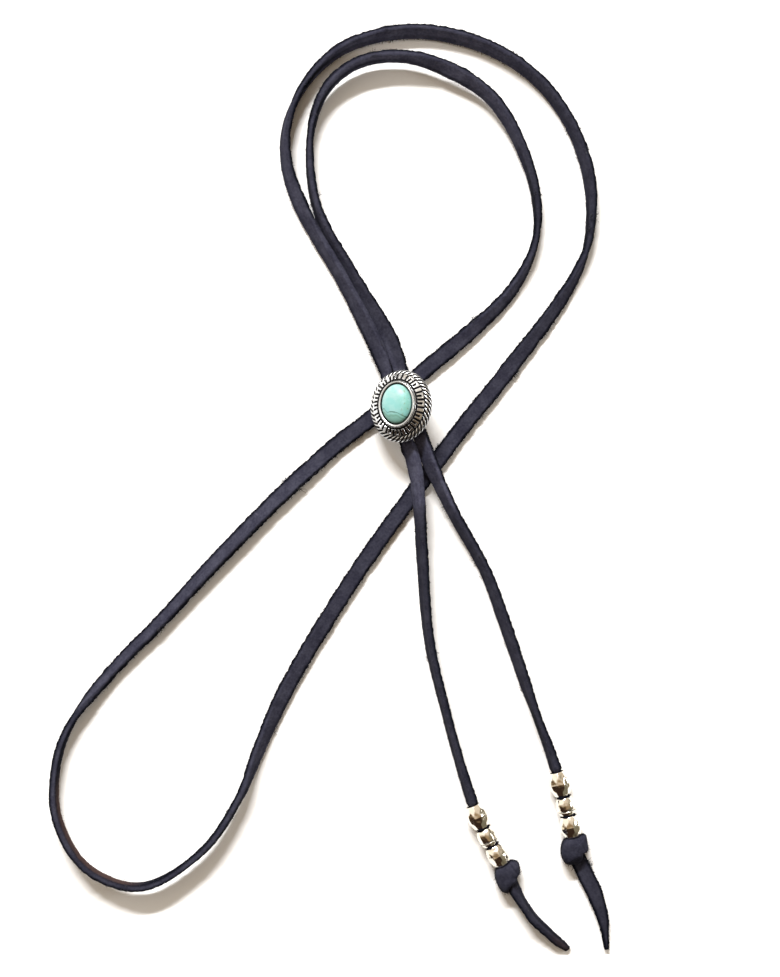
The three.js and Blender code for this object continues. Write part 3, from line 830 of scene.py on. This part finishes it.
def bead_surface(size, share, turn, facets):
    """A bead's radius and dark recess at each share of the way from its middle to an end, and
    each turn about its axis.

    A large bead is cut with two rows of facets on each half: each cut is a flat whose radius
    falls evenly towards the end, and grows as one over the cosine of the turn from its middle.
    The rows are half a facet apart, and the nearest cut counts. A small bead is a barrel with a
    groove near its lower end.
    """
    away = np.abs(share)
    step = 2 * np.pi / facets

    def flat(shift):
        return np.cos(np.mod(turn + shift * step, step) - step / 2)

    if size["cut"]:
        cuts = [(full - less * away) / flat(shift)
                for (full, less), shift in zip(BEAD_CUTS, (0.0, 0.5))]
        swell = -np.logaddexp(-CUT_SHARPNESS * cuts[0], -CUT_SHARPNESS * cuts[1]) / CUT_SHARPNESS
        dark = 0 * swell
    else:
        groove = hump(share - BARREL["groove"], BARREL["across"])
        soft = 1 - BARREL["flats"] * (1 - np.cos(step / 2) / flat(0))
        swell = (1 - BARREL["fall"] * away**2.6 - BARREL["deep"] * groove) * soft
        dark = groove * 0.8 + 0 * turn
    return size["radius"] * swell * (1 - 0.03 * smooth(0.92, 1.0, away)), dark


def edge_wander(line, rim, depth):
    """Push outwards of each point: wandering lines at two pitches that differ from side to side
    of the section, stronger towards the outline."""
    push = np.zeros(rim.shape)
    for index in range(rim.shape[1]):
        push[:, index] = depth * sum(
            weight * wander(line["distance"], pitch, seed + index // side)
            for pitch, seed, side, weight in EDGE_PITCHES)
    return push * (0.25 + 0.75 * rim)


def bead_middle(name):
    """Where the middle of a bead's CAD solid stands, in millimetres."""
    return np.array(sum(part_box(name), Vector()) / 2) / MM


def swell_between_beads(line):
    """The lace swells to a thin disc in each gap between two beads. Gives how far painted shade
    darkens each station round each gap, near black at the disc."""
    share, dark = np.zeros((2, len(line["point"])))
    halves = [size["length"] / 2 for size in BEAD_SIZES]
    for names in (LEFT_BEADS, RIGHT_BEADS):
        middles = [bead_middle(name) for name in names]
        for start, end, before, after in zip(middles, middles[1:], halves, halves[1:]):
            step = end - start
            apart = np.linalg.norm(step)
            gap = start + step * (apart + before - after) / 2 / apart
            away = np.linalg.norm(line["point"][:, :2] - gap[:2], axis=1)
            away = away - away.min()
            share += hump(away, GAP_DISC["spread"])
            dark += hump(away, DARK_SPREAD)
    for size in ("width", "thick"):
        line[size] += (GAP_DISC["across"] - line[size]) * share
    return dark


def close_pairs(line):
    """Widens the lace where two runs lie side by side, above and below the slide, so that they
    press on each other. Gives how far each station lies where two runs lie side by side above
    the slide, and where one run lies on another below it; painted shade and painted light follow
    these."""
    x, y, z = line["point"].T
    left, right = RUN_EDGES
    above = within(PRESSED_ABOVE, y) * (x < right)
    below = within(PRESSED_BELOW, y) * (z > 2.5)
    line["width"] += PAIR_SWELL * (above + 1.6 * below)
    return within(BESIDE, y) * (x < right) * (x > left), within(UNDER, y) * (z > 2.0)


def dimmed(line, beside):
    """How much painted shade darkens the nap at each station: on the tails and tips, at the
    right of the upper loops, and where two runs lie side by side above the slide."""
    x, y = line["point"][:, :2].T
    hanging = ((1 - smooth(*DIM_TAILS["y"], y)) * smooth(*DIM_TAILS["x"], x)
               * (1 + 0.4 * smooth(*DIM_TAILS["knots"], y)))
    return DIM_DEPTH * np.maximum(np.maximum(smooth(*DIM_RIGHT, x), hanging), 0.8 * beside)


def browned(line, grid):
    """How brown each point is: the inner side of the lower loop's bend, and the left tip."""
    inward = np.array(LOWER_LOOP_MIDDLE) - line["point"][:, :2]
    reach = ((grid[..., :2] - line["point"][:, None, :2]) * unit(inward)[:, None, :]).sum(-1)
    bend, tip = ((1 - smooth(*place["x"], line["point"][:, :1]))
                 * (1 - smooth(*place["y"], line["point"][:, 1:2]))
                 for place in (BROWN_BEND, BROWN_TIP))
    return np.clip(bend * smooth(*BROWN_BEND["reach"], reach) * 0.85 + tip * 0.3, 0, 1)


def lace_piece(settings):
    """The whole lace. Painted shade darkens its outline from above and round the discs between
    beads, but less where two runs press on each other and where it is browned. Painted light
    makes faces that lean away from the key light paler, to cancel their shade; the tips lose
    this and are a little darker."""
    line = lace_line()
    gap_shade = swell_between_beads(line)
    beside, under = close_pairs(line)
    section = lace_section()
    plain = band_points(line, section)
    # inner marks one side where two runs lie together: the painted shade on its outline is
    # lessened there, and painted light fills its valley.
    inner = np.maximum(beside, under)[:, None] * (section[:, 0] < 0)
    rim = rim_closeness(line, plain) * (1 - 0.9 * inner)
    grid = band_points(line, section, edge_wander(line, rim, settings.fray / MM))
    brown = browned(line, grid)
    # Painted shade: the rim mark is near black along the outline and round the discs between
    # beads.
    rim = np.maximum(rim * (1 - 0.6 * brown), gap_shade[:, None])
    # Painted light: faces that lean away from the key light are made paler, to cancel their
    # shade, and more so on one side where two runs lie together and below the slide, in its
    # shadow. The tips lose it and are made a little darker.
    lean = np.maximum(leaning(plain, AWAY_FROM_KEY_LIGHT), 0.3 * inner)
    lean = np.maximum(lean, 0.45 * under[:, None])
    kept = smooth(*TIP_TURN, line["point"][:, 1:2])
    lean = lean * kept - 0.5 * (1 - kept)
    # Painted shade: dim darkens the nap on the right, on the tails and tips, and between
    # side-by-side runs.
    dim = dimmed(line, beside)[:, None]
    return band_piece("lace_suede", grid, rim=rim, brown=brown, lean=lean, dim=dim)


def knot_outline(outline):
    """A closed smooth line through the outline's points, evenly run through their numbers."""
    rows = np.array(outline * 3, float)
    at = len(outline) + np.linspace(0, len(outline), KNOT_TURNS, endpoint=False)
    return centripetal(rows, at)[0]


def knot_piece(name, knot, outline):
    """A knot drawn tight: its half section is swept inwards and outwards over the outline.

    The top turn of the lace crosses it sideways as a strap. Past the strap's lower edge the
    surface steps down to the turn beneath, and shallow creases run along that edge and across
    the fold at the side. Painted shade darkens its outline at mid height and its creases, and a
    little near black lies over the whole knot.
    """
    rows = np.array(KNOT_SECTION)
    profile = centripetal(rows, np.linspace(0, len(rows) - 1, KNOT_STEPS))[0]
    middle = np.array([-0.1, 0.1])
    plan = middle + (knot_outline(outline) - middle)[None] * profile[:, None, :1]
    along, side = plan[..., 0], plan[..., 1]
    height = profile[:, 1:] + 0 * along
    upper = smooth(2.4, 4.6, height)
    past = along - (1.75 + 0.2 * (1.9 - side))
    across = side - 2.55 - 0.12 * along
    step = 1.1 * smooth(-0.12, 0.4, past)
    crease = 0.22 * hump(past, 0.2) + 0.2 * hump(across, 0.28)
    ripple = 0.1 * np.sin(1.9 * along + 0.6 * side) * np.sin(1.1 * side - 0.4)
    height = height - upper * (step + crease + ripple)
    # Painted shade: near black along the outline at mid height and in the creases, and a little
    # over all of the knot.
    rim = np.maximum(0.9 * smooth(0.9, 1.0, profile[:, :1]) * smooth(1.2, 2.6, height),
                     1.6 * crease * upper)
    return band_piece(name, frame_of_knot(knot)(np.dstack([along, side, height])),
                      rim=np.clip(rim, 0.2, 1), brown=0, lean=0, dim=KNOT_DIM)


def lace_roots(draw, count, usual):
    """Roots, ways out and lengths of fibres that stand on the lace's corners.

    Each starts at a random station and corner, leans out by a random angle and along the lace.
    One in TUFT_PART belongs to a tuft, where fibres are twice as long.
    """
    line = lace_line()
    last = LACE_STATIONS - BARE_STATIONS
    tufts = draw.integers(2 * BARE_STATIONS, last, TUFTS)
    tufted = count // TUFT_PART
    tuft = draw.choice(tufts, tufted) + draw.integers(-2, 3, tufted)
    station = np.concatenate([draw.integers(BARE_STATIONS, last, count - tufted), tuft])
    reach = usual * draw.gamma(*LENGTH_SPREAD, count)
    reach[-tufted:] *= 2.0
    side_x, side_y = draw.choice([-1, 1], (2, count))
    side_x[-tufted:] = np.where(tuft // 5 % 2, 1, -1)
    across, through = line["across"][station], line["through"][station]
    out_x = side_x * (line["width"][station] / 2 - 0.2)
    out_y = side_y * draw.uniform(0.1, 0.42, count) * line["thick"][station]
    root = line["point"][station] + across * out_x[:, None] + through * out_y[:, None]
    lean = draw.normal(0, 0.55, count)
    rise = side_y * draw.uniform(0.0, 0.9, count)
    way = across * side_x[:, None] + through * rise[:, None]
    return root, unit(way + line["ahead"][station] * lean[:, None]), reach


def knot_roots(draw, count, usual):
    """Roots, ways out and lengths of fibres that stand on the sides of the knots."""
    roots, ways = [], []
    for _, knot, outline in KNOTS:
        ring = knot_outline(outline)
        chosen = draw.integers(0, KNOT_TURNS, count)
        spot = np.column_stack([ring[chosen] * 0.95, draw.uniform(1.5, 4.2, count)])
        carry = frame_of_knot(knot)
        root = carry(spot)
        away = root - carry(np.array([[0.0, 0.0, KNOT_MIDDLE]]))
        roots.append(root)
        ways.append(unit(away + draw.normal(0, 1.2, (count, 3))))
    reach = usual * draw.gamma(*LENGTH_SPREAD, len(KNOTS) * count)
    return np.vstack(roots), np.vstack(ways), reach


def fibre_piece(count, usual):
    """Bent three-sided spikes. Each starts a little inside, bends once and tapers to a point."""
    draw = np.random.default_rng(FIBRE_SEED)
    from_lace = lace_roots(draw, count, usual)
    from_knots = knot_roots(draw, count // KNOT_PART, usual)
    root, way, reach = (np.concatenate(pair) for pair in zip(from_lace, from_knots))
    count = len(root)
    bend = unit(way + draw.normal(0, 0.45, (count, 3)))
    half = root + way * (0.2 + reach * 0.55)[:, None]
    end = half + bend * (reach * 0.45)[:, None]
    for spot in (half, end):
        spot[:, 2] = np.maximum(spot[:, 2], FIBRE_LOWEST)
    aside = unit(np.cross(way, draw.normal(0, 1, (count, 3))))
    other = np.cross(way, aside)
    turn = np.radians([0, 120, 240])[:, None]
    ring = np.cos(turn) * aside[:, None, :] + np.sin(turn) * other[:, None, :]
    ring = ring * draw.uniform(*FIBRE_RADIUS, count)[:, None, None]
    points = np.concatenate([root[:, None] + ring, half[:, None] + ring * 0.8, end[:, None]],
                            axis=1)
    start = np.arange(count)[:, None, None] * 7
    walls = np.array([[0, 1, 4, 3], [1, 2, 5, 4], [2, 0, 3, 5]]) + start
    ends = np.array([[3, 4, 6], [4, 5, 6], [5, 3, 6], [2, 1, 0]]) + start
    return add_piece("lace_fibres", points.reshape(-1, 3) * MM,
                     [walls.reshape(-1, 4), ends.reshape(-1, 3)])


def bezel_piece():
    """Plate, groove, thin outer ring, broad rounded rim and the seat, run round the oval."""
    top, middle = BEZEL["top"], (0.02, 0.02)
    outer = BEZEL["a"], BEZEL["b"]
    inner = STONE["a"] + SEAT_GAP, STONE["b"] + SEAT_GAP
    rim = [(out + into) / 2 for out, into in zip(outer, inner)]
    # The oval of each stretch, and its rows of: out, height, recess.
    rows = np.array([(*half, *row) for half, stretch in (
        (middle, [(0, 0, 0)]),
        (outer, [(1.9, 0, 0), (2.3, 0.1, 0.4), (2.4, 0.7, 1), (1.9, 1.9, 1), (1.6, 2.6, 1),
                 (0.6, 3.6, 1), (0.34, 4.0, 1), (0.14, 4.1, 1), (0.10, 4.3, 0.9),
                 (0.10, 4.5, 0.3), (0.07, 4.64, 0), (0.0, 4.7, 0.1), (-0.08, 4.66, 0.9),
                 (-0.11, 4.68, 0.8), (-0.13, 4.86, 0.1), (-0.17, 5.12, 0), (-0.26, 5.32, 0)]),
        (rim, [(0.06, top, 0), (-0.1, top - 0.01, 0)]),
        (inner, [(0.1, top - 0.1, 0.25), (0.03, top - 0.22, 0.8), (0, top - 0.4, 1),
                 (0, SEAT_FLOOR + 0.1, 1), (-0.1, SEAT_FLOOR, 1)]),
        (middle, [(0, SEAT_FLOOR, 1)]),
    ) for row in stretch])
    fine, recess = finer_rows(oval_grid(rows[:, :4], BEZEL_COLUMNS), rows[:, 4], 3)
    return band_piece("slide_bezel", on_slide(fine), recess=recess[:, None])


def finer_rows(grid, values, times):
    """More rows between the rows of a grid, evenly spaced along each column."""
    rows = len(grid)
    at = np.linspace(0, rows - 1, (rows - 1) * times + 1)
    low = np.minimum(at.astype(int), rows - 2)
    share = (at - low)[:, None, None]
    fine = grid[low] + (grid[low + 1] - grid[low]) * share
    return fine, np.interp(at, np.arange(rows), values)


def key_band_piece(settings):
    """The sloping band as a closed ring: its outer face climbs from the rope to the bezel, and
    is pushed out along its own normal by the relief of the keys."""
    turn = turns(BAND_COLUMNS)[None, :]
    run, rise = BAND["outer"] - BAND["inner"], BAND["high"] - BAND["low"]
    slope = math.hypot(run, rise)
    climb = np.linspace(-0.1, slope + 0.05, BAND_STEPS)[:, None]
    relief = key_relief(turn, climb)
    lift = relief * settings.key_height / MM
    out = BAND["outer"] - climb * run / slope + lift * rise / slope
    height = BAND["low"] + climb * rise / slope + lift * run / slope
    top = np.dstack([bezel_oval(turn + 0 * climb, out), height])
    foot = oval_grid([(BEZEL["a"], BEZEL["b"], out, height) for out, height in (
        (BAND["inner"] - 0.1, 3.6), (BAND["inner"], 2.0), (BAND["outer"], 1.6))], BAND_COLUMNS)
    recess = np.vstack([1 - relief, np.ones(foot.shape[:2])])
    return ring_piece("slide_keys", on_slide(np.concatenate([top, foot])), recess=recess)


def rope_piece(settings):
    """A ring whose surface is a bundle of round strands that slant outwards and clockwise.

    The groove depth at a point is one minus the root of one minus the square of its distance
    from the strand's middle, which makes each strand round and each groove sharp.
    """
    turn = turns(settings.strands * STRAND_COLUMNS)[None, :]
    around = turns(ROPE_STEPS)[:, None]
    phase = (settings.strands * turn - settings.strand_turns * around) / (2 * np.pi)
    aside = 2 * np.abs(phase - np.round(phase))
    groove = 1 - np.sqrt(1 - 0.96 * aside**2)
    radius = ROPE["radius"] + 0.04 - settings.strand_depth / MM * groove
    out = ROPE["offset"] + radius * np.cos(around)
    height = ROPE["height"] + radius * np.sin(around)
    grid = np.dstack([bezel_oval(turn + 0 * around, out), height])
    return ring_piece("slide_rope", on_slide(grid), recess=smooth(0.35, 0.7, aside))


def keeper_piece():
    """The loop behind the slide: a rounded bar carried along a U with rounded corners."""
    side = KEEPER["half"] + KEEPER["wall"] / 2
    deep = -KEEPER["room"] - KEEPER["wall"] / 2
    corner = KEEPER["corner"]
    arc = np.radians(np.linspace(180, 270, 9))
    left = np.column_stack([-side + corner + corner * np.cos(arc),
                            deep + corner + corner * np.sin(arc)])
    path = np.vstack([[-side, KEEPER["sunk"]], left,
                      (left * [-1, 1])[::-1], [side, KEEPER["sunk"]]])
    way = unit(np.gradient(path, axis=0))
    aside = np.column_stack([way[:, 1], -way[:, 0]])
    section = lace_section()
    middle = -(KEEPER["from"] + KEEPER["to"]) / 2
    across = middle + section[:, 0] * (KEEPER["to"] - KEEPER["from"])
    spot = path[:, None, :] + aside[:, None, :] * (section[:, 1] * KEEPER["wall"])[None, :, None]
    x, height = spot[..., 0], spot[..., 1]
    turn = math.radians(CHANNEL_TURN)
    spun = np.dstack([x * math.cos(turn) - across * math.sin(turn),
                      x * math.sin(turn) + across * math.cos(turn), height])
    return band_piece("slide_keeper", on_slide(spun), recess=0.3)


def stone_piece():
    """Straight foot and full dome: half width times cosine to a power under one, height by the
    sine. Its UVs are its own plan, from 0 to 1 each way."""
    a, b, foot = STONE["a"], STONE["b"], STONE["foot"]
    angle = np.radians(np.linspace(0, 89, 36))
    across = np.concatenate([[0.02, 0.9, 0.97, 1.0], np.cos(angle) ** STONE["power"]])
    dome = STONE["girdle"] + (STONE["top"] - STONE["girdle"]) * np.sin(angle)
    height = np.concatenate([[foot, foot, foot + 0.03, foot + 0.2], dome])
    grid = oval_grid([(a * share, b * share, 0, level)
                      for share, level in zip(across, height)], STONE_COLUMNS)
    points, faces, _ = tube_parts(grid, [[0, 0, foot], [0, 0, STONE["top"]]])
    plan = points[:, :2] / [2 * a, 2 * b] + 0.5
    uvs = plan[np.concatenate([part.ravel() for part in faces])]
    return add_piece("stone_turquoise", on_slide(points) * MM, faces, uvs)


def bead_piece(node, line, size, facets, seed):
    """A bead turned about the lace where its CAD solid stands, as a ring: its outside runs from
    the end towards the lace's tip to the other end, and its bore runs back."""
    centre = bead_middle(node)
    nearest = np.argmin(np.linalg.norm(line["point"][:, :2] - centre[:2], axis=1))
    axis = line["ahead"][nearest] * (1 if node in LEFT_BEADS else -1)
    aside = unit(np.cross(UP, axis))
    other = np.cross(axis, aside)
    share = np.linspace(-1, 1, BEAD_STEPS)
    turn = turns(BEAD_COLUMNS)
    outside, dark = bead_surface(size, -share[:, None], turn[None] + seed * 0.4, facets)
    back = share[::-12]
    outside = np.vstack([outside, np.full((len(back), len(turn)), BEAD_BORE)])
    dark = np.vstack([dark, np.ones((len(back), len(turn)))])
    height = np.concatenate([share, back]) * size["length"] / 2
    grid = (centre + axis * height[:, None, None]
            + (outside * np.cos(turn))[..., None] * aside
            + (outside * np.sin(turn))[..., None] * other)
    return ring_piece(node.replace("bead_", "metal_bead_"), grid, recess=dark)


def add_light(name, way, distance, size, power):
    """A rectangular light that faces the middle of the choker from a direction."""
    light = bpy.data.lights.new(name, "AREA")
    light.shape = "RECTANGLE"
    light.size, light.size_y = size
    light.energy = power
    lamp = placed(name, light)
    away = Vector(way).normalized()
    lamp.location = away * distance
    lamp.rotation_euler = away.to_track_quat("Z", "Y").to_euler()


# ---------------------------------------------------------------- settings


def tint(name, description, default):
    """A setting for a colour."""
    return FloatVectorProperty(name=name, description=description, subtype="COLOR", size=3,
                               min=0, max=1, default=default)


def small_length(name, description, default):
    """A setting for a length in metres, shown to the micrometre."""
    return FloatProperty(name=name, description=description, subtype="DISTANCE", unit="LENGTH",
                         default=default, min=0, precision=6)


def power(name, description, default):
    """A setting for how strong a light is."""
    return FloatProperty(name=name, description=description, default=default, min=0)


def number(name, description, default, least):
    """A setting for a whole number."""
    return IntProperty(name=name, description=description, default=default, min=least)


class LaceSettings(bpy.types.PropertyGroup):
    """Colours and edges of the suede lace."""

    colour: tint("Nap", "Colour of the raised nap", (0.0405, 0.0410, 0.0600))
    shade: tint("Shade", "Colour between the fibres", (0.018, 0.018, 0.03))
    scuff: tint("Scuff", "Colour of rubbed streaks", (0.11, 0.105, 0.14))
    brown: tint("Browned", "Colour of the browned inner side", (0.085, 0.048, 0.038))
    fray: small_length("Fray", "How far the cut edges wander", 0.00028)
    fibres: number("Fibres", "Loose fibres along the edges", 9000, 40)
    fibre_length: small_length("Fibre length", "Usual length of a loose fibre", 0.0004)


class SlideSettings(bpy.types.PropertyGroup):
    """Metal, rope edge and keys of the slide."""

    colour: tint("Silver", "Colour of the polished metal", (0.75, 0.80, 0.86))
    strands: number("Strands", "Strands seen round the rope edge", 44, 8)
    strand_turns: number("Strand slant", "Strands that the twist crosses round the rope", 6, 1)
    strand_depth: small_length("Strand depth", "Depth of the grooves between strands", 0.00046)
    key_height: small_length("Key height", "How far the keys stand up", 0.00042)


class StoneSettings(bpy.types.PropertyGroup):
    """Colours of the stone."""

    colour: tint("Stone", "Main colour", (0.225, 0.43, 0.415))
    pale: tint("Head", "Colour at the head of the stone", (0.285, 0.42, 0.405))
    foot: tint("Foot", "Colour below the vein", (0.165, 0.33, 0.27))
    vein: tint("Vein", "Colour of the vein", (0.05, 0.11, 0.085))


class BeadSettings(bpy.types.PropertyGroup):
    """Metal and facets of the beads."""

    colour: tint("Metal", "Colour of the beads", (0.95, 0.92, 0.85))
    facets: number("Facets", "Facets round a large bead", 10, 3)


class StudioSettings(bpy.types.PropertyGroup):
    """Lights and camera."""

    key_power: power("Key light", "Power of the main light in watts", 190)
    side_power: power("Side light", "Power of the light from the right in watts", 2.0)
    ambient: power("Ambient", "Strength of the light from all round", 0.75)
    view_height: FloatProperty(
        name="View height", description="Height of the camera over the lace",
        subtype="DISTANCE", unit="LENGTH", default=0.56, min=0.1)


SETTINGS = {
    "choker_lace": LaceSettings,
    "choker_slide": SlideSettings,
    "choker_stone": StoneSettings,
    "choker_beads": BeadSettings,
    "choker_studio": StudioSettings,
}


# ---------------------------------------------------------------- operators


class CHOKER_OT_camera(bpy.types.Operator):
    """Adds the camera, straight above the choker."""

    bl_idname = "choker.camera"
    bl_label = "Camera"

    def execute(self, context):
        height = context.scene.choker_studio.view_height
        camera = bpy.data.cameras.new("camera")
        camera.sensor_fit = "VERTICAL"
        camera.angle = 2 * math.atan(VIEW_SPAN / 2 / height)
        camera.clip_start = 0.01
        stand = placed("camera", camera)
        stand.location = (*VIEW_CENTRE, height + VIEW_LEVEL)
        context.scene.camera = stand
        return {"FINISHED"}


class CHOKER_OT_lace(bpy.types.Operator):
    """Makes the whole lace from tip to tip, with frayed edges and swollen between the beads."""

    bl_idname = "choker.lace"
    bl_label = "Lace"

    def execute(self, context):
        settings = context.scene.choker_lace
        dress(lace_piece(settings), suede_material(settings), "lace")
        return {"FINISHED"}


class CHOKER_OT_knots(bpy.types.Operator):
    """Makes the overhand knot on each tail, with its squared fold at the upper right."""

    bl_idname = "choker.knots"
    bl_label = "Knots"

    def execute(self, context):
        for name, knot, outline in KNOTS:
            dress(knot_piece(name, knot, outline), bpy.data.materials["suede"])
        return {"FINISHED"}


class CHOKER_OT_fibres(bpy.types.Operator):
    """Scatters loose fibres, and a few tufts, along the lace's edges."""

    bl_idname = "choker.fibres"
    bl_label = "Fibres"

    def execute(self, context):
        settings = context.scene.choker_lace
        piece = fibre_piece(settings.fibres, settings.fibre_length / MM)
        dress(piece, fibre_material(settings))
        return {"FINISHED"}


class CHOKER_OT_slide(bpy.types.Operator):
    """Makes the slide: base and bezel, band of keys, rope edge and the keeper behind."""

    bl_idname = "choker.slide"
    bl_label = "Slide"

    def execute(self, context):
        settings = context.scene.choker_slide
        silver = silver_material(settings)
        dress(bezel_piece(), silver, "slide")
        for piece in (key_band_piece(settings), rope_piece(settings), keeper_piece()):
            dress(piece, silver)
        return {"FINISHED"}


class CHOKER_OT_stone(bpy.types.Operator):
    """Makes the oval cabochon."""

    bl_idname = "choker.stone"
    bl_label = "Stone"

    def execute(self, context):
        material = stone_material(context.scene.choker_stone)
        dress(stone_piece(), material, "stone")
        return {"FINISHED"}


class CHOKER_OT_beads(bpy.types.Operator):
    """Makes the metal beads of both tails."""

    bl_idname = "choker.beads"
    bl_label = "Beads"

    def execute(self, context):
        settings = context.scene.choker_beads
        metal = bead_material(settings)
        line = lace_line()
        for names in (LEFT_BEADS, RIGHT_BEADS):
            for place, node in enumerate(names):
                piece = bead_piece(node, line, BEAD_SIZES[place], settings.facets, place)
                dress(piece, metal, node)
        return {"FINISHED"}


class CHOKER_OT_thread(bpy.types.Operator):
    """Works out the lace's length and its points in metres, and does nothing with them."""

    bl_idname = "choker.thread"
    bl_label = "Thread"

    def execute(self, context):
        line = lace_line()
        round(line["distance"][-1] * MM, 3)
        (line["point"] * MM).tolist()
        return {"FINISHED"}


class CHOKER_OT_studio(bpy.types.Operator):
    """Adds the pale table, the main light, the side light and the light from all round."""

    bl_idname = "choker.studio"
    bl_label = "Studio"

    def execute(self, context):
        settings = context.scene.choker_studio
        corners = TABLE_HALF * np.array([[-1, -1], [1, -1], [1, 1], [-1, 1]])
        table = add_piece("table", np.column_stack([corners, np.full(4, TABLE_LEVEL)]),
                          [np.array([[0, 1, 2, 3]])])
        table.data.materials.append(table_material())
        for name, way, distance, size, setting in LIGHTS:
            add_light(name, way, distance, size, getattr(settings, setting))
        context.scene.world = studio_world(settings.ambient)
        context.scene.view_settings.view_transform = "Standard"
        return {"FINISHED"}


STEPS = (CHOKER_OT_camera, CHOKER_OT_lace, CHOKER_OT_knots, CHOKER_OT_fibres, CHOKER_OT_slide,
         CHOKER_OT_stone, CHOKER_OT_beads, CHOKER_OT_thread, CHOKER_OT_studio)


class CHOKER_PT_panel(bpy.types.Panel):
    """Lists the choker's operators and settings."""

    bl_idname = "CHOKER_PT_panel"
    bl_label = "Choker"
    bl_space_type = "VIEW_3D"
    bl_region_type = "UI"
    bl_category = "Choker"

    def draw(self, context):
        for step in STEPS:
            self.layout.operator(step.bl_idname)
        for name in SETTINGS:
            box = self.layout.box()
            group = getattr(context.scene, name)
            for key in group.bl_rna.properties.keys():
                if key not in {"rna_type", "name"}:
                    box.prop(group, key)


def register():
    """Registers the settings, operators and panel, and puts the settings on the scene."""
    for kind in (*SETTINGS.values(), *STEPS, CHOKER_PT_panel):
        bpy.utils.register_class(kind)
    for name, group in SETTINGS.items():
        setattr(bpy.types.Scene, name, PointerProperty(type=group))


def unregister():
    """Takes back what register does, in the other order."""
    for name in SETTINGS:
        delattr(bpy.types.Scene, name)
    for kind in reversed((*SETTINGS.values(), *STEPS, CHOKER_PT_panel)):
        bpy.utils.unregister_class(kind)


def main():
    """Makes every piece in order."""
    register()
    for step in STEPS:
        area, action = step.bl_idname.split(".")
        getattr(getattr(bpy.ops, area), action)()


if __name__ == "__main__":
    main()
